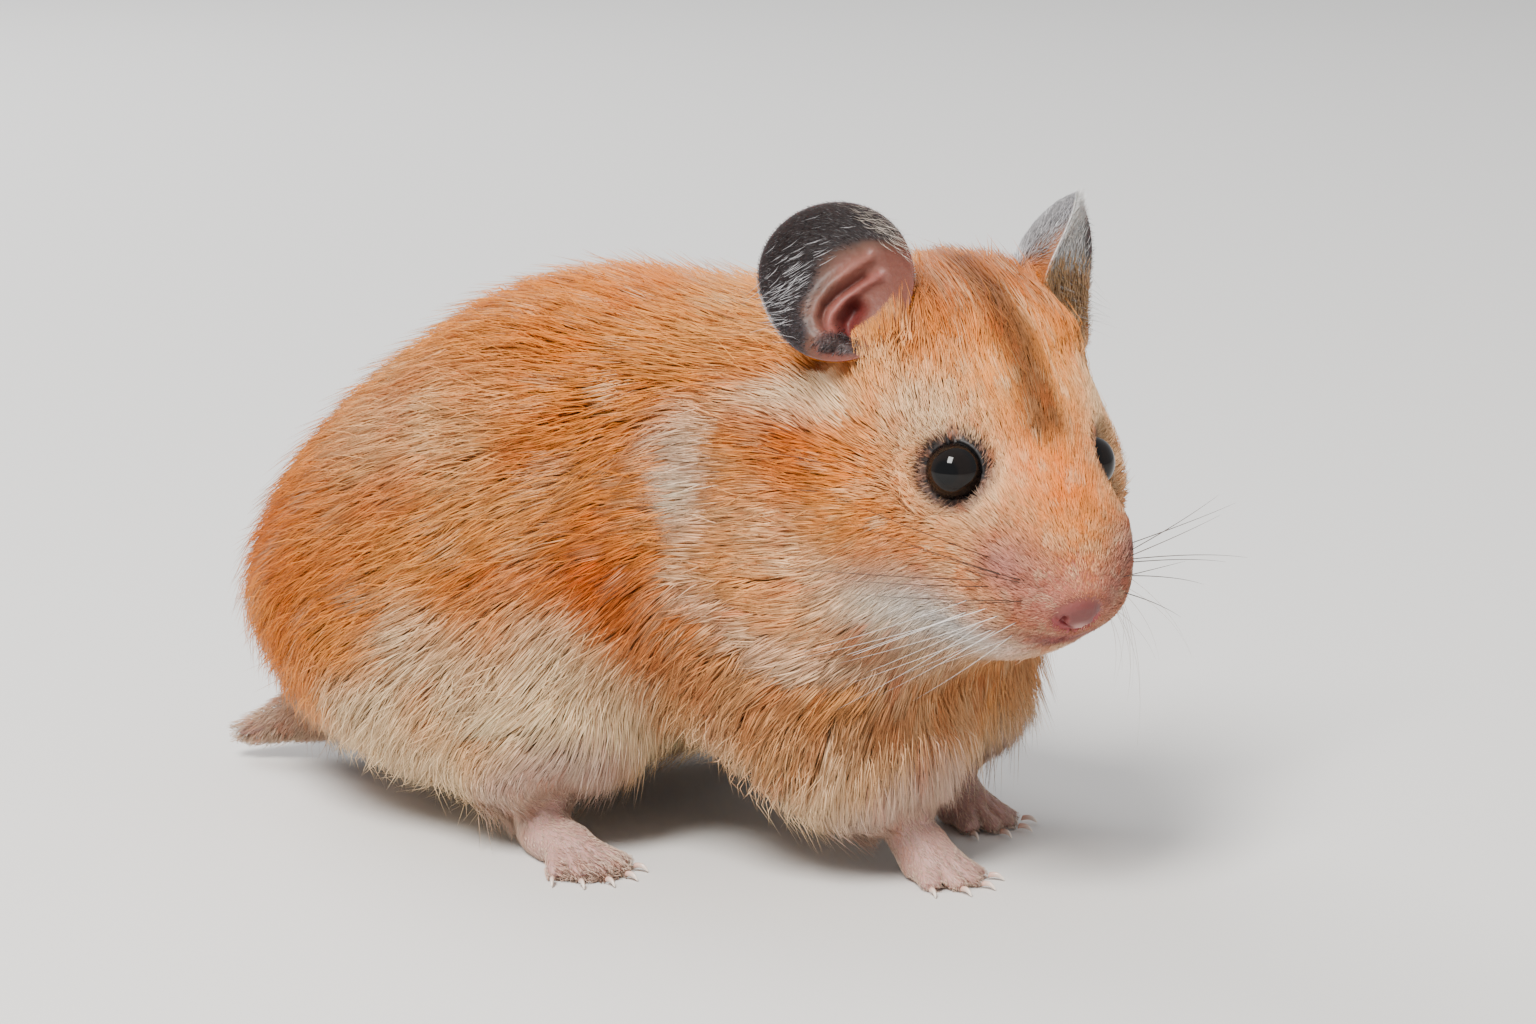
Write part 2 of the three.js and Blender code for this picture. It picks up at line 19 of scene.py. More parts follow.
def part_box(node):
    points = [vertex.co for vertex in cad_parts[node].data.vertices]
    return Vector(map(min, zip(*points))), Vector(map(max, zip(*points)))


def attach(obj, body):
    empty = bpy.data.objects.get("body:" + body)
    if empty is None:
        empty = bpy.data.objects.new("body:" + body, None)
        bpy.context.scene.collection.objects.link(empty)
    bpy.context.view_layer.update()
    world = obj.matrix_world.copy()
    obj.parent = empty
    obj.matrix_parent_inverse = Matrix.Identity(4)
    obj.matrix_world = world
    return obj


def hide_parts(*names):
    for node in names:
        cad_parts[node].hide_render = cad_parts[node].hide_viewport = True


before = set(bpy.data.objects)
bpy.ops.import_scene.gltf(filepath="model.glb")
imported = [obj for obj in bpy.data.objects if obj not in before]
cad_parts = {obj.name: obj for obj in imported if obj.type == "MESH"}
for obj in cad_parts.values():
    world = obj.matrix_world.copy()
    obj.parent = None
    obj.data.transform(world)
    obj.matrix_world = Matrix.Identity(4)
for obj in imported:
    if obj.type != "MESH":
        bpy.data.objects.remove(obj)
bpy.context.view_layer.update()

MM = 0.001
SIDES = {"right": -1.0, "left": 1.0}

# ---------------------------------------------------------------- driving dimensions

HEAD_YAW = math.radians(-23.8)
HEAD_PITCH = math.radians(27.7)
EYE_IN_HEAD = np.array([9.9, 8.6, 1.3])
NOSE_IN_HEAD = np.array([24.4, -0.7, -6.4])
EYE_RADIUS = 3.08
EYE_AXIS = np.array([0.45, 0.80, 0.38])
EYE_SHIFT = {"right": np.array([-0.59, -0.46, 0.20]), "left": np.array([0.15, -1.3, -0.5])}  # as the photo shows
SOCKET_LEVEL = {"right": 0.25, "left": 0.8}  # height of the skin round the eye, along the eye's axis
SOCKET_REACH = 7.5

EAR_ROOT = np.array([-7.3, 11.2, 9.7])
EAR_UP = np.array([-0.749, 0.626, 0.215])
EAR_OPENING = np.array([0.602, 0.502, 0.622])
EAR_POSE = {"right": (0.0, 0.0), "left": (0.38, 0.14)}  # drop and swing, in radians
EAR_WIDTH = 8.7
EAR_HEIGHT = 8.4
EAR_RISE = 5.0
EAR_DEPTH = 4.2
EAR_CURL = 3.2
EAR_LEAN = 1.2
FUR_LINE = [(-9, 0.4), (-7.2, 0.3), (-5.2, -0.6), (-3.9, 0.1), (-2.4, 0.6), (-1, -0.2), (0.7, -1.0), (3.3, -0.9), (5.2, -1.1), (9, 0)]

VOXEL = 0.58  # facet of the skin
GROWTH = 0.3  # closes the clearance between the solids as they are fused
BODY_DEPTH = 4.2  # from the tips of the body's coat to the skin
UV_PATCH = 0.003  # a tuft's patch on the unwrap
FLOOR_GAP = 0.05

# ---------------------------------------------------------------- small helpers


def unit(v):
    return v / np.maximum(np.linalg.norm(v, axis=-1, keepdims=True), 1e-9)


def step(low, high, x):
    """0 at low, 1 at high, smooth between."""
    t = np.clip((x - low) / (high - low), 0, 1)
    return t * t * (3 - 2 * t)


def hump(p, centre, radii):
    """1 at the centre of an ellipsoid, falling softly to 0 outside it."""
    return np.exp(-(((p - np.array(centre)) / np.array(radii)) ** 2).sum(-1))


def mix(a, b, t):
    return a + (b - a) * np.asarray(t)[..., None]


def near_line(p, points):
    """Distance from each p to a line of points."""
    points = np.array(points, float)
    best = np.full(len(p), np.inf)
    for a, b in zip(points[:-1], points[1:]):
        t = np.clip(((p - a) @ (b - a)) / ((b - a) @ (b - a)), 0, 1)
        best = np.minimum(best, np.linalg.norm(p - a - t[:, None] * (b - a), axis=1))
    return best


def ripple(p, scale, seed, waves=7):
    """Smooth noise about -1 to 1, whose blobs are about scale mm across."""
    rng = np.random.default_rng(seed)
    total = np.zeros(len(p))
    for _ in range(waves):
        direction = unit(rng.normal(size=3))
        rate = 2 * math.pi / (scale * rng.uniform(1.3, 2.9))
        total += np.sin(p @ direction * rate + rng.uniform(0, 2 * math.pi))
    return total / math.sqrt(waves / 2) / 1.6


def linear(rgb):
    """An sRGB colour, 0 to 255, as linear numbers."""
    c = np.array(rgb, float) / 255
    return np.where(c <= 0.04045, c / 12.92, ((c + 0.055) / 1.055) ** 2.4)


# ---------------------------------------------------------------- frames of head and ears


def turn(axis, angle):
    return np.array(Matrix.Rotation(angle, 3, axis))


def centre_of(node):
    low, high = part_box(node)
    return (np.array(low) + np.array(high)) / 2 / MM


HEAD_AXES = turn("Z", HEAD_YAW) @ turn("Y", HEAD_PITCH)
EYES = {side: centre_of(f"eye_{side}") for side in SIDES}
HEAD_AT = (EYES["right"] + EYES["left"]) / 2 - HEAD_AXES @ (EYE_IN_HEAD * [1, 0, 1])
EYES = {side: centre + HEAD_AXES @ EYE_SHIFT[side] for side, centre in EYES.items()}
MIDLINE = (centre_of("hindleg_right")[1] + centre_of("hindleg_left")[1]) / 2
FEET = {f"{kind}foot_{side}": centre_of(f"{kind}foot_{side}") for kind in ("fore", "hind") for side in SIDES}
TAIL_LOW, TAIL_HIGH = (np.array(corner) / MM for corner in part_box("tail"))
TAIL_LINE = [TAIL_LOW + [2, 3, 1], [TAIL_HIGH[0] - 4, TAIL_HIGH[1] - 4, 6.6]]


def to_head(p):
    return (p - HEAD_AT) @ HEAD_AXES


def from_head(q):
    return q @ HEAD_AXES.T + HEAD_AT


def on_right(q):
    """Head points with the animal's left folded onto its right."""
    return np.stack([q[:, 0], -np.abs(q[:, 1]), q[:, 2]], 1)


def folded(p):
    """Body points with the left folded onto the right."""
    return np.stack([p[:, 0], -np.abs(p[:, 1] - MIDLINE), p[:, 2]], 1)


def ear_frame(side):
    """Axes (columns: along the root to the crown, up to the rim, out of the bowl) and origin."""
    sign = np.array([1, SIDES[side], 1])
    up, opening = unit(EAR_UP * sign), unit(EAR_OPENING * sign)
    root = np.cross(opening, up) * SIDES[side]
    drop, swing = EAR_POSE[side]
    pose = turn("Z", -SIDES[side] * swing) @ turn("X", -SIDES[side] * drop)
    axes = HEAD_AXES @ pose @ np.stack([root, up, opening], 1)
    return axes, from_head(EAR_ROOT * sign)


def to_ear(p, side):
    axes, origin = ear_frame(side)
    return (p - origin) @ axes


def from_ear(e, side):
    axes, origin = ear_frame(side)
    return e @ axes.T + origin


# ---------------------------------------------------------------- mesh tools


def arrays_of(mesh):
    points = np.empty(len(mesh.vertices) * 3)
    mesh.vertices.foreach_get("co", points)
    corners = np.empty(len(mesh.loops), int)
    mesh.loops.foreach_get("vertex_index", corners)
    return points.reshape(-1, 3), corners.reshape(len(mesh.polygons), -1)


def mesh_of(name, points, faces, scale=MM):
    """A mesh from arrays: points in mm, faces all with the same number of corners."""
    mesh = bpy.data.meshes.new(name)
    mesh.vertices.add(len(points))
    mesh.vertices.foreach_set("co", (np.asarray(points) * scale).astype(np.float32).ravel())
    mesh.loops.add(faces.size)
    mesh.loops.foreach_set("vertex_index", faces.astype(np.int32).ravel())
    mesh.polygons.add(len(faces))
    mesh.polygons.foreach_set("loop_start", np.arange(0, faces.size, faces.shape[1], dtype=np.int32))
    mesh.polygons.foreach_set("use_smooth", np.ones(len(faces), bool))
    mesh.update(calc_edges=True)
    return mesh


def object_of(name, mesh, *materials):
    obj = bpy.data.objects.new(name, mesh)
    bpy.context.collection.objects.link(obj)
    for material in materials:
        mesh.materials.append(material)
    return obj


def paint(mesh, colours):
    """Writes one linear colour per vertex."""
    layer = mesh.color_attributes.new("shade", "FLOAT_COLOR", "POINT")
    rgba = np.ones((len(mesh.vertices), 4), np.float32)
    rgba[:, :3] = np.clip(colours, 0, 1)
    layer.data.foreach_set("color", rgba.ravel())


def stacked(parts):
    """Joins (points, faces) pairs into one."""
    points, faces, start = [], [], 0
    for p, f in parts:
        points.append(p)
        faces.append(f + start)
        start += len(p)
    return np.concatenate(points), np.concatenate(faces)


def halved(quads):
    return np.concatenate([quads[:, [0, 1, 2]], quads[:, [0, 2, 3]]])


def outward(points, faces):
    """Turns the faces of a closed mesh to face out of it."""
    volume = np.einsum("ij,ij->i", points[faces[:, 0]], np.cross(points[faces[:, 1]], points[faces[:, 2]])).sum()
    return faces if volume > 0 else faces[:, ::-1]


def normals_of(points, faces):
    """Area-weighted vertex normals."""
    a, b, c = points[faces[:, 0]], points[faces[:, 1]], points[faces[:, 2]]
    face = np.cross(b - a, c - a) if faces.shape[1] == 3 else np.cross(c - a, points[faces[:, 3]] - b)
    total = np.zeros_like(points)
    for corner in faces.T:
        for axis in range(3):
            total[:, axis] += np.bincount(corner, face[:, axis], len(points))
    return unit(total)


def relaxed(values, faces, budget, rate=0.5):
    """Moves each row of values towards its neighbours' mean, budget[i] times in all."""
    ends = np.concatenate([np.stack([faces[:, i], np.roll(faces, -1, 1)[:, i]], 1) for i in range(faces.shape[1])])
    low, high = np.sort(ends, 1).T
    pairs = np.unique(low * len(values) + high)
    low, high = pairs // len(values), pairs % len(values)
    here, there = np.concatenate([low, high]), np.concatenate([high, low])
    degree = np.bincount(here, minlength=len(values))[:, None]
    for k in range(int(np.ceil(budget.max()))):
        columns = [np.bincount(here, column[there], len(values)) for column in values.T]
        mean = np.stack(columns, 1) / degree
        values = values + (mean - values) * np.clip(budget - k, 0, 1)[:, None] * rate
    return values


def smoothed_form(points, faces, budget):
    """Relaxes facets away and then gives the form back the bulk that relaxing took."""
    soft = relaxed(points, faces, budget)
    normals = normals_of(soft, faces)
    lost = ((points - soft) * normals).sum(1, keepdims=True)
    return soft + normals * relaxed(lost, faces, np.minimum(budget, 12 + budget * 0.25))


def solid_of(name):
    """A solid of the frame in mm, its split vertices welded."""
    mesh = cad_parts[name].data
    mesh.calc_loop_triangles()
    tris = np.empty(len(mesh.loop_triangles) * 3, int)
    mesh.loop_triangles.foreach_get("vertices", tris)
    points = np.empty(len(mesh.vertices) * 3)
    mesh.vertices.foreach_get("co", points)
    points = points.reshape(-1, 3) / MM
    _, first, where = np.unique(np.round(points, 3), axis=0, return_index=True, return_inverse=True)
    return points[first], where.reshape(-1)[tris.reshape(-1, 3)]


def fused(parts):
    """One closed net of squares round several overlapping solids."""
    mesh = mesh_of("fusing", *stacked(parts), scale=1)
    obj = object_of("fusing", mesh)
    remesh = obj.modifiers.new("remesh", "REMESH")
    remesh.mode = "VOXEL"
    remesh.voxel_size = VOXEL
    result = obj.evaluated_get(bpy.context.evaluated_depsgraph_get()).to_mesh()
    arrays = arrays_of(result)
    obj.to_mesh_clear()
    bpy.data.objects.remove(obj)
    bpy.data.meshes.remove(mesh)
    return arrays


def refined(points, faces, centres, reaches):
    """Halves the edges within each reach of any centre in turn, and returns triangles."""
    mesh = mesh_of("refining", points, faces, scale=1)
    bm = bmesh.new()
    bm.from_mesh(mesh)
    middles = [Vector(centre) for centre in centres]
    for reach in reaches:
        near = {v.index for v in bm.verts if any((v.co - middle).length < reach for middle in middles)}
        edges = [e for e in bm.edges if all(v.index in near for v in e.verts)]
        bmesh.ops.subdivide_edges(bm, edges=edges, cuts=1, use_grid_fill=True)
        bm.verts.index_update()
    bmesh.ops.triangulate(bm, faces=bm.faces)
    bm.to_mesh(mesh)
    bm.free()
    arrays = arrays_of(mesh)
    bpy.data.meshes.remove(mesh)
    return arrays


class Surface:
    """Finds the nearest place and normal on a mesh."""

    def __init__(self, points, faces):
        self.tree = BVHTree.FromPolygons(points.tolist(), faces.tolist())
        self.normals = normals_of(points, faces)
        self.faces = faces

    def nearest(self, points):
        spots, normals = np.empty_like(points), np.empty_like(points)
        for i, p in enumerate(points.tolist()):
            spot, _, face, _ = self.tree.find_nearest(p)
            spots[i], normals[i] = spot, self.normals[self.faces[face]].sum(0)
        return spots, unit(normals)


# ---------------------------------------------------------------- regions of the body


def foot_distance(p):
    return np.min([np.linalg.norm(p - centre, axis=1) for centre in FEET.values()], axis=0)


def tail_distance(p):
    return near_line(p, TAIL_LINE)


def eye_distance(p):
    return np.min([np.linalg.norm(p - centre, axis=1) for centre in EYES.values()], axis=0)


def nose_distance(p):
    return np.linalg.norm(to_head(p) - NOSE_IN_HEAD, axis=1)


def headness(p):
    """1 on the head, 0 behind the ruff and below the throat."""
    q = to_head(p)
    return step(-21, -10, q[:, 0]) * step(-28, -18, q[:, 2])


def ear_reach(e):
    """0 in the middle of an ear's bowl and 1 on its rim."""
    return np.hypot(e[:, 0] / EAR_WIDTH, (e[:, 1] - EAR_RISE) / EAR_HEIGHT)


def bowl_level(e):
    """The level of an ear's bowl under or over points in its frame."""
    return ear_bowl(np.minimum(ear_reach(e), 1), e[:, 0] / EAR_WIDTH, e[:, 1] / (EAR_HEIGHT + EAR_RISE))


def past_fur_line(e):
    """How far a point in an ear's frame lies inside the bowl from the line where the head's fur ends."""
    return e[:, 1] - np.interp(e[:, 0], *np.transpose(FUR_LINE))


def coat_depth(p):
    """From the tips of the coat down to the skin."""
    q = to_head(p)
    from_nose = nose_distance(p)
    head = np.interp(from_nose, [3, 6, 10, 16, 26, 36], [0.1, 0.35, 0.7, 1.2, 2.0, 3.2])
    head = head + 0.8 * step(-9, -16, q[:, 2]) * step(5, 11, from_nose)
    head = np.minimum(head, np.interp(eye_distance(p), [3, 8, 14], [0.5, 1.2, 3.2]))
    body = BODY_DEPTH + headness(p) * (head - BODY_DEPTH)
    limb = np.interp(foot_distance(p), [5, 9, 16], [0.15, 0.8, BODY_DEPTH])
    tail = np.interp(tail_distance(p), [4.4, 9], [1.4, BODY_DEPTH])
    return np.minimum(np.minimum(body, limb), tail)


# ---------------------------------------------------------------- markings

COAT = {
    "gold": (218, 122, 26), "deep": (190, 80, 8), "buff": (232, 160, 82), "cream": (240, 211, 170),
    "white": (246, 242, 238), "rust": (200, 96, 14), "brown": (98, 58, 34), "pink": (182, 126, 120),
    "bright": (242, 130, 36), "umber": (150, 98, 62), "mauve": (140, 88, 90), "tan": (196, 142, 96), "lid": (126, 92, 84), "shin": (206, 178, 164), "tail": (186, 158, 138), "slate": (96, 72, 56),
    "silver": (206, 204, 206), "ash": (96, 90, 88), "dusk": (52, 44, 44),
}
COAT = {name: linear(rgb) for name, rgb in COAT.items()}

# centre, radii, colour and strength of each soft patch, on the folded right side
BODY_PATCHES = [
    ((-20, -21, 45), (11, 14, 7), "buff", 0.9),
    ((-31, -20, 40), (8, 12, 8), "buff", 0.9),
    ((-9, -25, 37), (8, 9, 6), "buff", 0.75),
    ((-20, -25, 31), (9, 9, 4), "buff", 0.4),
    ((-31, -20, 41), (7, 10, 7), "cream", 0.4),
    ((-19, -22, 45), (9, 10, 6), "cream", 0.3),
    ((5, -20, 48), (6, 9, 6), "buff", 0.6),
    ((4, -20, 43), (6, 12, 11), "gold", 0.6),
    ((3, -24, 31), (7, 9, 8), "deep", 0.7),
    ((10, -24, 24), (8, 9, 7), "deep", 0.5),
    ((-42, -14, 24), (14, 20, 16), "rust", 0.65),
    ((-8, -12, 56), (12, 12, 5), "gold", 0.7),
    ((9, -9, 58), (9, 12, 6), "buff", 1.0),
    ((18, -15, 55), (5, 6, 4), "buff", 0.8),
    ((17, -18, 46), (5, 8, 5), "gold", 0.8),
    ((22, -23, 22), (7, 8, 5), "buff", 0.6),
    ((17, -20, 19), (12, 10, 8), "tan", 0.8),
    ((30, -20, 14), (10, 10, 10), "tan", 0.9),
    ((38, -8, 20), (12, 14, 16), "tan", 0.9),
    # painted shadow: an umber patch on the throat, under the jaw
    ((34, -19, 24), (9, 8, 5), "umber", 1.0),
]
# along the flank, x and the height below which the coat is cream
CREAM_EDGE = [(-50, 3), (-40, 6), (-30, 13), (-20, 23), (-5, 24), (4, 19), (12, 12), (24, 10), (40, 11)]
RUFF = [(10, -20.5, 45), (13, -22, 39), (16, -23.5, 34), (24, -23.8, 29.5), (33, -21, 27.5), (40, -14, 25)]
EAR_STREAK = [(30, -19, 54.5), (24, -19, 53), (15, -17.5, 51)]

# the same in the head frame, on the right side
HEAD_PATCHES = [
    ((0, -19, -5), (12, 8, 7), "gold", 0.9),
    ((-7, -19, -3), (6, 6, 5), "rust", 0.8),
    ((9, -15.5, -8), (7, 6, 5), "gold", 0.85),
    ((8, -14, -15), (8, 5, 4), "cream", 0.9),
    ((-2, -18, -14), (7, 6, 4), "cream", 0.6),
    ((15, -9, -14), (9, 10, 5), "white", 1.0),
    ((6, 0, -19), (13, 16, 5), "cream", 0.9),
    ((14, 1, 3.6), (7, 7, 4.5), "bright", 1.0),
    # painted highlight: a soft lighter streak on the bridge of the nose
    ((12.5, -1.6, 5.4), (4, 1.6, 3), "buff", 0.3),
    ((4.4, -18.5, -7.2), (4, 6, 4), "buff", 0.8),
    ((10, -9.5, 1.3), (5, 5, 5), "cream", 0.95),
    ((4, -11.5, 6), (6, 5, 5), "cream", 0.7),
    ((-2, -7.5, 12), (5, 4, 4), "gold", 0.6),
    ((-8, -4, 13), (7, 6, 5), "deep", 0.6),
    ((-7.5, -5.5, 13), (5, 5, 5), "umber", 0.6),
    ((20, -4, -1), (4, 4, 3), "buff", 0.7),
    ((22.5, -3, -5.5), (4, 6, 4), "pink", 0.9),
    ((19, -7.1, -2.6), (4.5, 4.5, 3.5), "pink", 0.9),
    ((23, -1.5, -10.5), (3.5, 4.5, 2.2), "mauve", 1.0),
]
STREAK = [(-12, 0, 12), (-3, 0, 13), (3.4, -0.4, 11.2), (10, -1, 7.4)]


def coat_colour(p):
    """The linear colour of the coat at points of the body and head."""
    q = to_head(p)
    wobble = ripple(p, 9, 11)[:, None] * [1.2, 0.8, 1.2] + ripple(p, 4, 12)[:, None] * [0.5, 0.4, 0.5]
    f = folded(p) + wobble
    body = np.tile(mix(COAT["gold"], COAT["buff"], 0.3), (len(p), 1))
    for centre, radii, colour, strength in BODY_PATCHES:
        body = mix(body, COAT[colour], strength * hump(f, centre, radii))
    edge = np.interp(f[:, 0], *np.transpose(CREAM_EDGE))
    body = mix(body, COAT["cream"], step(7, -6, f[:, 2] - edge + 2.5 * ripple(p, 6, 15)) * 0.9)
    ruff = near_line(f, RUFF)
    ruff_share = step(7.5, 1.5, ruff) * np.interp(f[:, 2], [34, 42, 50], [1.0, 0.9, 0.35])
    ruff_share = ruff_share * np.where(p[:, 1] > MIDLINE, 0.6, 1)
    body = mix(body, mix(COAT["cream"], COAT["white"], 0.25), ruff_share)
    streak = near_line(f, EAR_STREAK)
    body = mix(body, COAT["cream"], step(4.5, 0.5, streak) * np.interp(f[:, 0], [17, 26], [0.2, 0.85]))
    body = mix(body, COAT["buff"], 0.35 * step(0.2, 1.0, ripple(p * [0.6, 1, 1.3], 6, 13)))
    body = mix(body, COAT["deep"], 0.28 * step(0.2, 1.0, ripple(p * [0.6, 1, 1.3], 5, 14)) * step(20, 32, f[:, 2]))

    g = on_right(q) + wobble * 0.3
    head = np.tile(mix(COAT["buff"], COAT["gold"], 0.35), (len(p), 1))
    for centre, radii, colour, strength in HEAD_PATCHES:
        head = mix(head, COAT[colour], strength * hump(g, centre, radii))
    head = mix(head, COAT["brown"], step(3.4, 0.4, near_line(g, STREAK)) * 0.85)
    # painted shadow under the jaw: the throat's umber patch, carried into the head's colour
    head = mix(head, COAT["umber"], hump(f, (34, -20, 25), (9, 8, 3.5)) * 0.8)
    head = mix(head, body, step(6.5, 2.5, ruff) * step(-4, -12, q[:, 0]))
    head = mix(head, COAT["cream"], step(4.5, 0.5, streak) * 0.8)
    colour = mix(body, head, headness(p))
    colour = mix(colour, COAT["lid"], 0.85 * step(EYE_RADIUS + 2.0, EYE_RADIUS + 0.6, eye_distance(p)))
    colour = mix(colour, COAT["tail"], 0.85 * step(11, 6, tail_distance(p)))
    return mix(colour, COAT["shin"], 0.85 * step(13, 8, foot_distance(p)))


# ---------------------------------------------------------------- muzzle

NOSE_PAD = (2.25, 1.65)  # half width and half height
# on the muzzle's front, y and z from the middle of the nose pad, on the left
NOSTRIL = [(0.95, -1.25), (1.5, -1.15), (1.85, -0.7), (1.8, -0.15)]
PHILTRUM = [(0, -1.7), (0, -4.6)]
LIP_LINE = [(23, 0, -11.2), (21, 2.6, -12), (17, 4.8, -12.8), (13, 6.5, -13.2)]  # in the head frame
WHISKER_ROWS = 4
WHISKER_COLUMNS = 4


def follicles(side):
    """Roots of the whiskers in the head frame: rows from top to bottom, columns from the nose back."""
    sign = SIDES[side]
    return [
        (row, column, np.array([22.4 - 1.15 * column, sign * (4.6 + 1.15 * column + 0.3 * row),
                                -3.8 - 1.7 * row + 0.2 * column]))
        for row in range(WHISKER_ROWS) for column in range(WHISKER_COLUMNS)
    ]


def follicle_share(q, width):
    """1 on the whiskers' roots, which are dark."""
    roots = [root for side in SIDES for _, _, root in follicles(side)]
    return dent(np.min([np.linalg.norm(q - root, axis=1) for root in roots], axis=0), width)


def front_of(q):
    """Places on the front of the muzzle: y folded onto the left, and z, from the nose pad's middle."""
    return np.stack([np.abs(q[:, 1] - NOSE_IN_HEAD[1]), q[:, 2] - NOSE_IN_HEAD[2]], 1)


def pad_ring(front):
    """1 on the edge of the nose pad, less inside."""
    return np.hypot(front[:, 0] / NOSE_PAD[0], front[:, 1] / NOSE_PAD[1])


def dent(distance, width):
    return np.exp(-((distance / width) ** 2))


def muzzle_relief(q):
    """How far the nose, nostrils, lips and whisker pads stand out of a plain muzzle."""
    front = front_of(q)
    ring = pad_ring(front)
    facing = step(19.5, 22, q[:, 0])
    below = step(0.4, -0.8, front[:, 1])
    relief = 0.32 * step(1.15, 0.6, ring) - (0.1 + 0.4 * below) * dent(ring - 1.22, 0.18)
    relief = relief - 0.9 * dent(near_line(front, NOSTRIL), 0.26)
    relief = relief - 0.35 * dent(near_line(front, PHILTRUM), 0.22)
    mirrored = np.stack([q[:, 0], np.abs(q[:, 1]), q[:, 2]], 1)
    lips = near_line(mirrored, LIP_LINE)
    mouth = 0.25 * dent(lips - 0.7, 0.45) - 0.75 * dent(lips, 0.3)
    pads = 0.5 * hump(on_right(q), (20, -5.6, -6.5), (3.2, 2.6, 3.2)) + 1.1 * hump(on_right(q), (17, -7.5, -1.5), (5, 3.2, 3.6))
    chin = -0.9 * hump(q, (23, 0, -12), (3, 6, 3))
    return relief * facing + mouth + pads + chin


# ---------------------------------------------------------------- the skin

FLESH = [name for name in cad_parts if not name.startswith(("eye", "claw"))]


def body_form():
    """The fused body without its ears, smoothed out of its facets, then sunk below the coat."""
    parts = []
    for name in FLESH:
        if not name.startswith("ear"):
            points, tris = solid_of(name)
            parts.append((points + normals_of(points, tris) * GROWTH, tris))
    parts += [solid_of(f"eye_{side}") for side in SIDES]
    points, quads = fused(parts)
    head = np.interp(nose_distance(points), [3, 10], [12, 34])
    budget = 190 + headness(points) * (head - 190)
    budget = np.minimum(budget, np.interp(foot_distance(points), [7, 12, 20], [5, 24, 190]))
    budget = np.minimum(budget, np.interp(tail_distance(points), [5, 14], [16, 190]))
    points = smoothed_form(points, quads, budget)
    points = points - normals_of(points, quads) * coat_depth(points)[:, None]
    points = relaxed(points, quads, np.minimum(budget, 10))
    points[:, 2] = np.maximum(points[:, 2], 0)
    return points, quads


def with_muzzle(points, quads):
    """Refines the front of the head and raises the nose, nostrils, lips and whisker pads on it."""
    nose = from_head(NOSE_IN_HEAD + [-1.5, 0, -1.0])
    points, tris = refined(points, quads, [nose], (9.5, 6.0))
    points = relaxed(points, tris, 10 * step(9, 7.5, np.linalg.norm(points - nose, axis=1)))
    relief = muzzle_relief(to_head(points))
    return points + normals_of(points, tris) * relief[:, None], tris


def with_toes(points, tris):
    """Parts the front of each foot into toes that end at its claws."""
    claws = {foot: [centre_of(name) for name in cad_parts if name.startswith("claw") and foot in name] for foot in FEET}
    points, tris = refined(points, tris, [np.mean(claws[foot], 0) for foot in FEET], (5.5,))
    normals = normals_of(points, tris)
    for foot, heel in FEET.items():
        ahead = np.mean(claws[foot], 0) - heel
        forward = ((points - heel) @ ahead) / (ahead @ ahead)
        lines = [near_line(points, [heel * 0.6 + claw * 0.4, claw]) for claw in claws[foot]]
        first, second = np.sort(np.stack(lines), 0)[:2]
        relief = TOE_BULGE * dent(first, 0.8) - TOE_GROOVE * dent(second - first, 0.45) * step(2.2, 1.4, first)
        points = points + normals * (relief * step(0.3, 0.55, forward) * step(2.4, 1.8, first))[:, None]
    points[:, 2] = np.maximum(points[:, 2], 0)
    return points, tris


def with_sockets(points):
    """Lowers the skin round each eye to the ball's widest place, and draws what is over the ball inside it."""
    for side, centre in EYES.items():
        axes = eye_axes(side)
        e = (points - centre) @ axes
        across = np.hypot(e[:, 0], e[:, 1])
        limit = SOCKET_LEVEL[side] + 0.33 * np.maximum(across - EYE_RADIUS, 0) ** 1.5
        in_front = (across < SOCKET_REACH) & (e[:, 2] > -EYE_RADIUS) & (e[:, 2] < 2 * EYE_RADIUS)
        e[:, 2] = np.where(in_front, np.minimum(e[:, 2], limit), e[:, 2])
        reach = np.linalg.norm(e, axis=1)
        inside = (reach < EYE_RADIUS + 0.35)[:, None]
        e = np.where(inside, unit(e) * np.minimum(reach, EYE_RADIUS - 0.45)[:, None], e)
        points = e @ axes.T + centre
    return points


def with_ear_hollows(points):
    """Draws the head back behind the bowl of each ear."""
    for side in SIDES:
        e = to_ear(points, side)
        share = step(-0.9, 0.5, past_fur_line(e)) * (ear_reach(e) < 0.97) * (e[:, 2] > -9)
        e[:, 2] += np.minimum(bowl_level(e) - 1.4 - e[:, 2], 0) * share
        axes, origin = ear_frame(side)
        points = e @ axes.T + origin
    return points


FOLLICLE_RADIUS = 0.45
TOE_BULGE = 0.2
TOE_GROOVE = 0.55


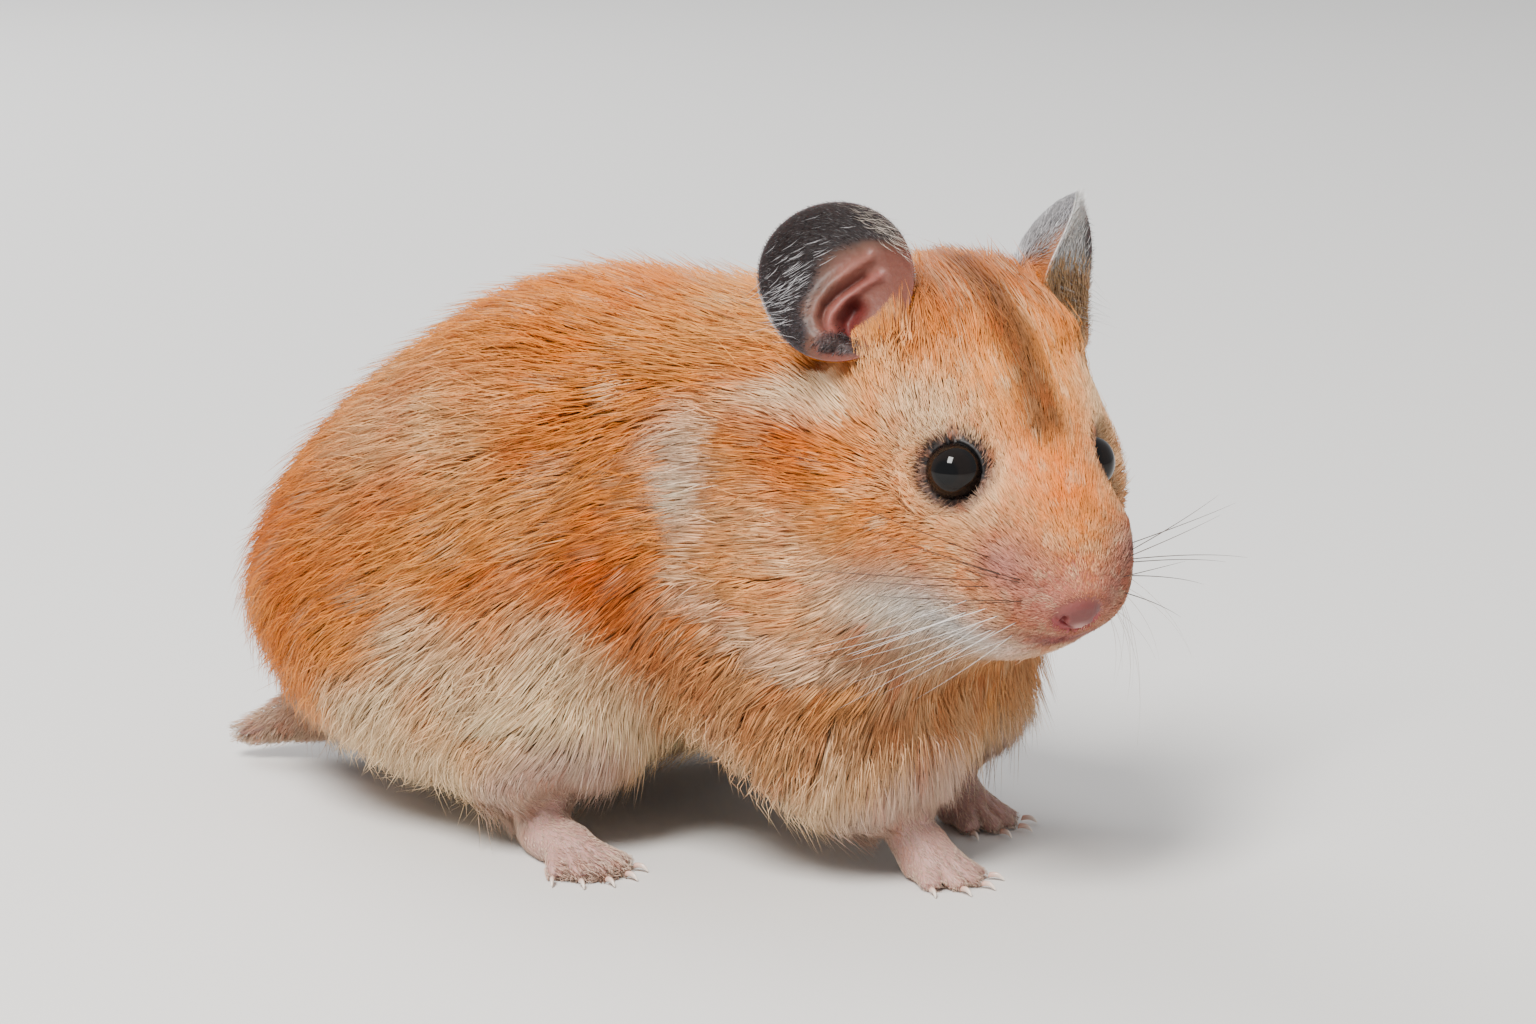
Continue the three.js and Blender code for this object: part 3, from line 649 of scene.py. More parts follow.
def body_skin_colour(p):
    q = to_head(p)
    from_nose = nose_distance(p)
    # the skin under the coat carries the coat's markings, darkened: painted shade for the gaps between the tufts
    colour = coat_colour(p) * 0.6 + linear((150, 100, 80)) * 0.2
    colour = mix(colour, linear((182, 140, 130)), step(11, 7, foot_distance(p)))
    colour = mix(colour, linear((182, 140, 130)), step(6, 4.5, tail_distance(p)))
    colour = mix(colour, linear((190, 112, 92)), step(10, 5, from_nose))
    front = front_of(q)
    facing = step(19, 21.5, q[:, 0])
    colour = mix(colour, linear((108, 52, 48)), facing * step(1.9, 0.9, pad_ring(front)))
    # painted highlight: a pale spot on the lower half of the nose pad
    pad_highlight = hump(front, (0, -0.9), (1.0, 0.5))
    colour = mix(colour, linear((214, 168, 160)), 0.5 * pad_highlight * facing)
    # painted shade inside the nostril slits
    colour = mix(colour, linear((120, 40, 44)), facing * dent(near_line(front, NOSTRIL), 0.3))
    groove = step(0.2, -0.8, front[:, 1]) * dent(pad_ring(front) - 1.25, 0.2)
    colour = mix(colour, linear((170, 70, 76)), 0.7 * facing * groove)
    lips = near_line(np.stack([q[:, 0], np.abs(q[:, 1]), q[:, 2]], 1), LIP_LINE)
    colour = mix(colour, linear((134, 80, 82)), step(2.2, 0.5, lips) * 0.85)
    colour = mix(colour, linear((110, 72, 72)), 0.7 * follicle_share(q, FOLLICLE_RADIUS))
    return mix(colour, linear((26, 19, 19)), step(EYE_RADIUS + 0.7, EYE_RADIUS + 0.4, eye_distance(p)))


# ---------------------------------------------------------------- ears

EAR_ROWS = 36
EAR_SPOKES = 112
HELIX_FOLD = [(4.3, 3.6), (2.3, 4.5), (-0.1, 5.3), (-2.1, 5.4), (-3.8, 4.9), (-4.6, 4.0), (-4.8, 2.7)]
INNER_FOLD = [(3.4, 1.6), (1.6, 2.5), (-0.7, 3.3), (-2.4, 3.5), (-3.6, 3.2), (-4.0, 2.3)]
FOLD_GROOVE = [(2.6, 2.8), (0.2, 3.9), (-2.0, 4.5), (-3.3, 4.1), (-4.2, 3.3)]
EAR_CANAL = [(-0.6, 1.7), (-2.2, 1.6), (-3.2, 0.9)]
ANTITRAGUS = [(-5.4, 2.2), (-4.8, 1.4), (-4.4, 0.3)]
PINK_EDGE = [(-9.0, 2.6), (-6.4, 3.8), (-4.5, 5.2), (-1.3, 6.2), (2.4, 7.0), (5.4, 4.6), (6.8, 2.0), (9, 0)]


def ear_relief(flat):
    """How far the folds stand out of the bowl."""
    relief = 1.0 * dent(near_line(flat, HELIX_FOLD), 0.8) + 0.8 * dent(near_line(flat, INNER_FOLD), 0.62)
    relief = relief - 0.5 * dent(near_line(flat, FOLD_GROOVE), 0.35)
    relief = relief + 1.3 * dent(near_line(flat, ANTITRAGUS), 0.75)
    return relief - 1.6 * dent(near_line(flat, EAR_CANAL), 0.85)


def ear_bowl(reach, across, rise):
    """The middle of the ear's sheet, out of the plane of its rim."""
    return -EAR_DEPTH * (1 - reach ** 2) + EAR_CURL * across ** 2 * (1 - rise) + EAR_LEAN * rise * np.abs(rise)


def ear_sheet(reach, angle, inner):
    """Points of the ear's inner or outer face: reach is 0 in the middle and 1 on the rim."""
    trim = 1 - 0.1 * np.exp(-(((angle - 2.6) / 0.55) ** 2))
    tall = EAR_HEIGHT + EAR_RISE
    rise = (reach * np.sin(angle) * EAR_HEIGHT * trim + EAR_RISE) / tall
    across = reach * np.cos(angle)
    inset = 1 - 0.05 * reach ** 2
    x, y = across * EAR_WIDTH * trim * inset, (rise * tall - EAR_RISE) * inset + EAR_RISE
    z = ear_bowl(reach, across, rise)
    half = 0.42 - 0.2 * reach ** 3
    relief = ear_relief(np.stack([x, y], 1)) * step(1, 0.85, reach)
    rim = np.sqrt(np.clip(1 - np.clip((reach - 0.95) / 0.05, 0, 1) ** 2, 0, 1))
    if inner:
        z = z + half * rim + relief
    else:
        z = z - half * rim - 0.3 * step(1, 0.7, reach) + np.minimum(relief, 0)
    return np.stack([x, y, z], 1)


def ear_form():
    """One ear in its own frame: quads of a closed shell, whose inner face comes first."""
    reach = np.concatenate([np.linspace(0.02, 0.95, EAR_ROWS), 0.95 + 0.05 * np.sin(np.linspace(0, math.pi / 2, 4)[1:])])
    angle = np.linspace(-math.pi / 2, 1.5 * math.pi, EAR_SPOKES, endpoint=False)
    grid_reach, grid_angle = (grid.ravel() for grid in np.meshgrid(reach, angle, indexing="ij"))
    inner = ear_sheet(grid_reach, grid_angle, True)
    outer = ear_sheet(grid_reach, grid_angle, False)
    rows = len(reach)
    i, j = (grid.ravel() for grid in np.meshgrid(np.arange(rows - 1), np.arange(EAR_SPOKES), indexing="ij"))
    k = (j + 1) % EAR_SPOKES
    quads = np.stack([i * EAR_SPOKES + j, (i + 1) * EAR_SPOKES + j, (i + 1) * EAR_SPOKES + k, i * EAR_SPOKES + k], 1)
    shell = len(inner)
    points = np.concatenate([inner, outer[: shell - EAR_SPOKES]])  # the two faces share the rim
    back = quads[:, ::-1] + shell
    back = np.where(back >= 2 * shell - EAR_SPOKES, back - shell, back)
    middles = [points[:EAR_SPOKES].mean(0), points[shell:shell + EAR_SPOKES].mean(0)]
    points = np.concatenate([points, middles])
    spokes = np.arange(EAR_SPOKES)
    ahead = (spokes + 1) % EAR_SPOKES
    cap_in = np.stack([np.full(EAR_SPOKES, len(points) - 2), spokes, ahead], 1)
    cap_out = np.stack([np.full(EAR_SPOKES, len(points) - 1), shell + ahead, shell + spokes], 1)
    faces = np.concatenate([cap_in, halved(quads), cap_out, halved(back)])
    return points, faces, len(cap_in) + 2 * len(quads)


def seen_along(e):
    """1 where the far ear's bowl is seen along its silver hairs and their sheen is painted white, 0 towards its rim."""
    return step(12.8, 11, e[:, 1])


def far_fringe(e):
    """1 where the head's fur runs up the far ear, 0 above."""
    return step(3.8, 0.8, 0.89 * e[:, 0] + 0.46 * e[:, 1])


def ear_skin_colour(e, inner):
    """Colour of the ear's skin by place in the ear's frame."""
    flat = e[:, :2]
    wobble = ripple(e, 2.4, 51) * 0.5
    edge = np.interp(flat[:, 0], *np.transpose(PINK_EDGE)) + wobble
    dark = linear((52, 45, 46))
    if not inner:
        return mix(np.tile(linear((150, 92, 50)), (len(e), 1)), dark, step(-1, 2, e[:, 1] + wobble))
    pink = np.tile(linear((112, 66, 55)), (len(e), 1))
    # painted highlights on the helix and inner folds, painted shade in the fold's groove and in the canal
    pink = mix(pink, linear((150, 94, 82)), dent(near_line(flat, HELIX_FOLD), 0.6) * 0.6)
    pink = mix(pink, linear((146, 84, 76)), dent(near_line(flat, INNER_FOLD), 0.6) * 0.7)
    pink = mix(pink, linear((92, 40, 32)), dent(near_line(flat, FOLD_GROOVE), 0.4) * 0.8)
    pink = mix(pink, linear((92, 26, 24)), step(1.8, 0.5, near_line(flat, EAR_CANAL)) * 0.9)
    colour = mix(pink, linear((96, 66, 54)), step(-2.4, 0.2, flat[:, 1] - edge))
    colour = mix(colour, dark, step(-0.4, 1.2, flat[:, 1] - edge))
    colour = mix(colour, dark, step(1.6, 0.7, near_line(flat, ANTITRAGUS)) * 0.8)
    rim = np.hypot(flat[:, 0] / EAR_WIDTH, (flat[:, 1] - EAR_RISE) / EAR_HEIGHT)
    return mix(colour, linear((120, 108, 104)), step(0.97, 0.995, rim) * 0.6)


# ---------------------------------------------------------------- eyelids

LID_SPOKES = 72
LID_EDGE = 85.0  # angle from the eye's axis to the edge of the lids
CANTHUS = np.array([0.75, 0.15, -0.62])  # from the eye to its inner corner, in the head frame, mirrored by side


def eye_axes(side):
    """Columns: towards the inner corner, across, and out along the eye's axis."""
    sign = np.array([1, SIDES[side], 1])
    out = HEAD_AXES @ unit(EYE_AXIS * sign)
    corner = HEAD_AXES @ (CANTHUS * [1, -SIDES[side], 1])
    corner = unit(corner - out * (corner @ out))
    return np.stack([corner, np.cross(out, corner), out], 1)


def lid_form(side, surface):
    """A closed ring of lid round the eye, from the ball out to the skin, and its colours."""
    axes = eye_axes(side)
    turns = np.linspace(0, 2 * math.pi, LID_SPOKES, endpoint=False)
    corner = np.exp(-((np.minimum(turns, 2 * math.pi - turns) / 0.22) ** 2))
    edge = np.radians(LID_EDGE + 10 * corner)

    def at(angle, radius):
        ring = np.stack([np.sin(angle) * np.cos(turns), np.sin(angle) * np.sin(turns), np.cos(angle)], 1)
        return EYES[side] + (ring @ axes.T) * np.reshape(radius, (-1, 1))

    skin_spot, skin_normal = surface.nearest(at(edge + 0.3, EYE_RADIUS + 0.8))
    skirt = skin_spot - skin_normal * 0.2
    ridge = at(edge + 0.08, EYE_RADIUS + 0.24)
    rows = [at(edge + 0.12, EYE_RADIUS - 0.5), at(edge, EYE_RADIUS - 0.05), at(edge + 0.01, EYE_RADIUS + 0.14), ridge]
    for t in (0.3, 0.6, 0.85):
        rows.append(ridge * (1 - t) + skirt * t + (ridge - EYES[side]) * 0.12 * t * (1 - t) * 2)
    rows += [skirt, skirt - skin_normal * 0.6]
    shades = [(14, 10, 10), (16, 12, 12), (20, 14, 14)] + [(0, 0, 0)] * 6
    i, j = (grid.ravel() for grid in np.meshgrid(np.arange(len(rows)), np.arange(LID_SPOKES), indexing="ij"))
    up, k = (i + 1) % len(rows), (j + 1) % LID_SPOKES
    quads = np.stack([i * LID_SPOKES + j, i * LID_SPOKES + k, up * LID_SPOKES + k, up * LID_SPOKES + j], 1)
    colours = np.repeat([linear(shade) for shade in shades], LID_SPOKES, axis=0)
    furred = slice(3 * LID_SPOKES, None)
    colours[furred] = coat_colour(np.concatenate(rows)[furred]) * np.repeat([0.05, 0.2, 0.6, 0.7, 0.7, 0.7], LID_SPOKES)[:, None]
    pink = np.tile(corner, len(rows))[:, None] * np.repeat([0, 0.5, 0.6, 0.5, 0.2, 0, 0, 0, 0], LID_SPOKES)[:, None]
    outside = np.tile((i >= 2) & (i <= 6), 2)
    return np.concatenate(rows), halved(quads), colours + (linear((190, 140, 140)) - colours) * pink, outside


# ---------------------------------------------------------------- the lie of the coat


# how steeply the hair of the head's side rises as it runs back, by height in the head frame
SIDE_RISE = [(-14, -1.1), (-7, -0.75), (-2, -0.4), (2, 0.1), (5, 0.9), (9, 1.3)]


def lie_on_head(q):
    """Away from the nose over the muzzle, then back, up over the brow and down over the cheek."""
    away = unit(q - [27, 0, -6])
    rise = np.interp(q[:, 2], *np.transpose(SIDE_RISE))
    back = unit(np.stack([-np.ones(len(q)), 0.012 * q[:, 1], rise], 1))
    from_nose = np.linalg.norm(q - NOSE_IN_HEAD, axis=1)
    return unit(mix(away, back, step(7, 17, from_nose)))


def lie_of(p, normals):
    """The direction in which hair lies: along the skin and away from the nose, down over the feet."""
    q = to_head(p)
    head = lie_on_head(q) @ HEAD_AXES.T
    drop = np.interp(p[:, 2], [8, 22, 36, 52, 62], [1.7, 1.2, 0.62, 0.4, 0.15])
    body = unit(np.stack([-np.ones(len(p)), np.zeros(len(p)), -drop], 1))
    f = folded(p)
    body = unit(mix(body, np.array([-0.6, 0, -0.75]), step(11, 5, near_line(f, RUFF))))
    body = unit(mix(body, np.array([-0.3, 0, -0.9]), hump(f, (28, -16, 12), (11, 10, 13))))
    body = unit(mix(body, np.array([0.6, 0, -0.8]), step(10, 6, foot_distance(p))))
    lie = mix(body, head, headness(p))
    for centre in EYES.values():
        away = p - centre
        lie = lie + unit(away) * (1.6 * step(EYE_RADIUS + 1.8, EYE_RADIUS + 0.3, np.linalg.norm(away, axis=1)))[:, None]
    lie = lie + np.stack([ripple(p, 7, seed) for seed in (21, 22, 23)], 1) * 0.12
    return unit(lie - normals * (lie * normals).sum(1, keepdims=True))


# ---------------------------------------------------------------- tufts

# each tuft is a closed spindle: a root, a ring of three round its thickest place, and a tip
ROOT, RIM_A, RIM_B, RIM_C, TIP = range(5)
SPINDLE = np.array([
    (RIM_A, RIM_C, TIP), (RIM_C, RIM_B, TIP), (RIM_B, RIM_A, TIP),
    (RIM_C, RIM_A, ROOT), (RIM_B, RIM_C, ROOT), (RIM_A, RIM_B, ROOT),
])
SPINDLE_UV = (np.array([(0.5, 0), (0, 0.4), (1, 0.4), (0.5, 0.5), (0.5, 1)]) - 0.5) * UV_PATCH
THICKEST = 0.38  # how far along a tuft is widest
FUR_OVERHANG = 0.5  # how far tips may pass the fur line of an ear
BEHIND_EAR = 0.9  # how far the fur behind an ear stays off the middle of its sheet


class Field:
    """A surface that tufts grow on."""

    def __init__(self, points, faces, uv):
        self.points, self.faces, self.uv = points, faces, uv
        self.normals = normals_of(points, faces)
        a, b, c = (points[faces[:, i]] for i in range(3))
        self.area = np.linalg.norm(np.cross(b - a, c - a), axis=1) / 2
        self.centres = (a + b + c) / 3

    def scatter(self, count, weight, rng):
        """Roots spread evenly, denser where weight is more: places, normals and uvs."""
        share = np.cumsum(self.area * weight(self.centres))
        picks = (np.arange(count) + rng.uniform(size=count)) / count * share[-1]
        face = np.searchsorted(share, picks)
        u, v = rng.uniform(size=(2, count))
        u, v = np.where(u + v > 1, 1 - u, u), np.where(u + v > 1, 1 - v, v)
        w = np.stack([1 - u - v, u, v], 1)[:, :, None]
        corners = self.faces[face]
        return (self.points[corners] * w).sum(1), unit((self.normals[corners] * w).sum(1)), (self.uv[face] * w).sum(1)


class Tufts:
    """Arrays for many tufts: roots, directions and sizes, then shapes and colours."""

    def __init__(self, field, count, weight, seed):
        self.rng = np.random.default_rng(seed)
        self.root, self.normal, self.uv = field.scatter(count, weight, self.rng)
        self.count = count

    def vary(self, low, high):
        return self.rng.uniform(low, high, self.count)

    def lay(self, lie, length, width, height, swerve=0.16):
        """Sets each tuft's place: its widest point and tip, height off the skin."""
        side = np.cross(lie, self.normal)
        lie = unit(lie + side * self.rng.normal(size=(self.count, 1)) * swerve)
        self.lie, self.width, self.height = lie, width, height
        rise = self.normal * height[:, None]
        self.middle = self.root + lie * (length * THICKEST)[:, None] + rise * 0.72
        self.tip = self.root + lie * length[:, None] + rise

    def gather(self, share, strength, spacing):
        """Draws the tips of neighbouring tufts together into locks, and returns each one's leader."""
        leaders = self.rng.permutation(self.count)[: max(8, int(self.count * share))]
        tree = KDTree(len(leaders))
        for i, k in enumerate(leaders):
            tree.insert(self.root[k].tolist(), i)
        tree.balance()
        found = [tree.find(p)[1:] for p in self.root.tolist()]
        leader = leaders[[index for index, _ in found]]
        gap = np.array([distance for _, distance in found])
        pull = strength * step(spacing * 1.7, spacing * 0.4, gap)
        self.tip = mix(self.tip, self.tip[leader] + (self.tip - self.tip[leader]) * 0.2, pull)
        shift = self.middle[leader] - self.middle
        self.middle = self.middle + shift * (pull * 0.3)[:, None]
        return leader

    def clip_at_ears(self):
        """Shortens the hairs that would reach over the line where the fur ends in an ear's bowl."""
        for side in SIDES:
            tip, root = to_ear(self.tip, side), to_ear(self.root, side)
            over, under = past_fur_line(tip), past_fur_line(root)
            in_bowl = (ear_reach(tip) < 1) & (np.abs(tip[:, 2]) < 9)
            kept = np.clip((FUR_OVERHANG - under) / np.maximum(over - under, 0.01), 0.1, 1)
            kept = np.where(in_bowl & (over > FUR_OVERHANG) & (under < FUR_OVERHANG), kept, 1)
            below = bowl_level(tip) - BEHIND_EAR
            low = np.clip((below - root[:, 2]) / np.maximum(tip[:, 2] - root[:, 2], 0.01), 0.1, 1)
            kept = np.where(in_bowl & (under >= FUR_OVERHANG) & (tip[:, 2] > below), low, kept)[:, None]
            self.tip = self.root + (self.tip - self.root) * kept
            self.middle = self.root + (self.middle - self.root) * kept

    def settle(self, surface):
        """Sets the tips at their height over the nearest skin, so that the outline stays true."""
        spot, normal = surface.nearest(self.tip)
        self.tip = spot + normal * self.height[:, None]

    def shapes(self):
        along = unit(self.tip - self.root)
        side = unit(np.cross(along, self.normal))
        up = np.cross(side, along)
        half = side * (self.width / 2)[:, None]
        rows = [self.root - self.normal * 0.25, self.middle - half, self.middle + half,
                self.middle + up * (self.width * 0.5)[:, None], self.tip]
        points = np.stack(rows, 1)
        points[:, :, 2] = np.maximum(points[:, :, 2], FLOOR_GAP)
        return points

    def colours(self, root, middle, tip):
        # the ridge, which faces away from the skin, is 4% lighter: a painted highlight on each tuft's top
        return np.stack([root, middle, middle, middle * 1.04, tip], 1)


def coat_piece(name, shapes, colours, uv, material):
    count = len(shapes)
    faces = (SPINDLE[None] + np.arange(count)[:, None, None] * len(SPINDLE_UV)).reshape(-1, 3)
    mesh = mesh_of(name, shapes.reshape(-1, 3), faces)
    paint(mesh, colours.reshape(-1, 3))
    places = (uv[:, None] + SPINDLE_UV[None]).reshape(-1, 2)
    mesh.uv_layers.new(name="OFBake").data.foreach_set("uv", places[faces.ravel()].astype(np.float32).ravel())
    obj = object_of(name, mesh, material)
    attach(obj, "root")


def coat_pieces(name, batches, material, most=190000):
    """Shares batches of (shapes, colours, uv) out over pieces of under most triangles each."""
    shapes, colours, uv = (np.concatenate(column) for column in zip(*batches))
    pieces = math.ceil(len(shapes) * len(SPINDLE) / most)
    for k in range(pieces):
        chosen = slice(k, None, pieces)
        coat_piece(f"{name}_{k + 1}", shapes[chosen], colours[chosen], uv[chosen], material)


# ---------------------------------------------------------------- growing the coat

DENSITY = 1.0
SEEN = 0.75  # how far along a tuft the part lies that shows its colour


def may_grow(p):
    """0 where no tuft may stand: the eyes, the nose pad, the mouth, and the soles."""
    q = to_head(p)
    front = front_of(q)
    pad = 1 - step(1.35, 1.0, pad_ring(front)) * step(18, 20, q[:, 0])
    lips = step(0.3, 0.7, near_line(np.stack([q[:, 0], np.abs(q[:, 1]), q[:, 2]], 1), LIP_LINE))
    eyes = step(EYE_RADIUS + 0.02, EYE_RADIUS + 0.3, eye_distance(p))
    return eyes * pad * lips * step(0.3, 0.8, p[:, 2])


def main_weight(p):
    """Tufts are smaller and so closer on the face and feet."""
    weight = 1 + 5 * headness(p) * step(34, 14, nose_distance(p)) + 1.5 * headness(p)
    weight = weight + 3 * step(14, 8, foot_distance(p)) + 3 * step(8, 5, tail_distance(p))
    return weight * np.interp(foot_distance(p), [4.5, 8], [0.5, 1]) * may_grow(p) + 1e-6


def fur_line_distance(p):
    """Distance to the line where the head's fur ends in the bowl of an ear."""
    best = np.full(len(p), np.inf)
    for side in SIDES:
        e = to_ear(p, side)
        best = np.minimum(best, np.hypot(near_line(e[:, :2], FUR_LINE), np.maximum(np.abs(e[:, 2]) - 4, 0)))
    return best


def lift(p):
    """What the fur adds where smoothing took too much off the crown and the cheeks."""
    g = on_right(to_head(p))
    return 1.0 * hump(g, (-6, 0, 11), (10, 10, 7)) + 1.3 * hump(g, (10, -12, -5), (6, 5, 5))


def hair_length(p):
    face = np.interp(nose_distance(p), [2, 5, 9, 15, 24, 36], [0.6, 0.9, 1.6, 2.8, 4.4, 7.5])
    length = 8.5 + headness(p) * (face - 8.5)
    length = length + 1.8 * step(7, 3, near_line(folded(p), RUFF))
    length = np.minimum(length, np.interp(eye_distance(p), [3, 6, 12], [0.9, 2.0, 8]))
    length = np.minimum(length, np.interp(fur_line_distance(p), [0.3, 6], [0.8, 7]))
    length = np.minimum(length, np.interp(foot_distance(p), [4.5, 8, 14], [1.0, 3.0, 8.5]))
    return np.minimum(length, np.interp(tail_distance(p), [3.6, 8], [2.2, 8.5]))


def hair_width(p):
    return np.interp(hair_length(p), [0.8, 2, 4, 8], [0.065, 0.09, 0.14, 0.22])


def main_coat(field, surface):
    tufts = Tufts(field, int(205000 * DENSITY), main_weight, 31)
    root = tufts.root
    length = hair_length(root) * tufts.vary(0.75, 1.12)
    height = (coat_depth(root) + lift(root)) * tufts.vary(0.62, 1.1)
    width = hair_width(root) * tufts.vary(0.75, 1.25) * (1 if DENSITY == 1 else 1.5)
    tufts.lay(lie_of(root, tufts.normal), length, width, height)
    strength = np.interp(length, [1.5, 3, 6], [0.05, 0.25, 0.5]) + 0.25 * step(9, 4, near_line(folded(root), RUFF))
    leader = tufts.gather(0.03, strength * (1 - 0.8 * step(12, 9, foot_distance(root))), 2.2)
    tufts.settle(surface)
    tufts.clip_at_ears()
    rng = tufts.rng
    speckle = (0.06 + 0.1 * step(9, 5, nose_distance(root)))[:, None]
    tone = (1 + 0.07 * rng.normal(size=(tufts.count, 1)))[leader] * (1 + speckle * rng.normal(size=(tufts.count, 1)))
    warm = (0.16 * rng.normal(size=tufts.count))[leader]
    base = coat_colour(mix(root, tufts.tip, SEEN))
    base = mix(base, COAT["dusk"], 0.5 * follicle_share(to_head(root), FOLLICLE_RADIUS))
    base = mix(base, COAT["deep"], np.clip(warm, 0, 1) * step(0.75, 0.4, base[:, 1]))
    base = mix(base, COAT["cream"], np.clip(-warm, 0, 1) * step(0.05, 0.16, base[:, 1]))
    base = np.clip(base * tone, 0, 1)
    # darker roots: partly the slate undercoat, partly painted shade deep in the coat between the tufts
    root_undercoat_and_shade = mix(base * 0.78, COAT["slate"], 0.12 * step(0.6, 2.5, coat_depth(root)))
    colours = tufts.colours(root_undercoat_and_shade, base * 0.92, np.clip(base * 1.1 + 0.01, 0, 1))
    return tufts.shapes(), colours, tufts.uv


def guard_hairs(field, surface):
    """Longer, thinner hairs that stand out a little, some of them dark tipped."""
    tufts = Tufts(field, int(14000 * DENSITY), lambda p: (1 - 0.6 * headness(p)) * may_grow(p) + 1e-6, 71)
    root = tufts.root
    length = hair_length(root) * tufts.vary(0.9, 1.3)
    tufts.lay(lie_of(root, tufts.normal), length, np.minimum(hair_width(root), 0.11),
              (coat_depth(root) + lift(root)) * tufts.vary(1.0, 1.45), swerve=0.25)
    tufts.settle(surface)
    tufts.clip_at_ears()
    base = coat_colour(mix(root, tufts.tip, SEEN))
    dark = tufts.rng.uniform(size=tufts.count) < 0.35
    tip = np.where(dark[:, None], base * 0.35, np.clip(base * 1.25, 0, 1))
    # darker roots: painted shade deep in the coat
    return tufts.shapes(), tufts.colours(base * 0.6, base * 0.95, tip), tufts.uv


def lid_hairs(field, side):
    """Very short hair from the dark rim of the lids outwards."""
    tufts = Tufts(field, int(2600 * DENSITY), lambda p: np.ones(len(p)), 77 if side == "right" else 78)
    root = tufts.root
    away = unit(root - EYES[side])
    lie = lie_of(root, tufts.normal) + away - tufts.normal * (away * tufts.normal).sum(1, keepdims=True)
    size = tufts.vary(0.8, 1.2)
    tufts.lay(unit(lie), 0.9 * size, 0.06 * size, 0.22 * size)
    base = coat_colour(root) * tufts.vary(0.55, 1.0)[:, None]
    base = mix(base, COAT["dusk"], 0.9 * step(EYE_RADIUS + 1.0, EYE_RADIUS + 0.4, np.linalg.norm(root - EYES[side], axis=1)))
    # darker roots: painted shade among the hairs
    return tufts.shapes(), tufts.colours(base * 0.8, base, base * 1.05), tufts.uv


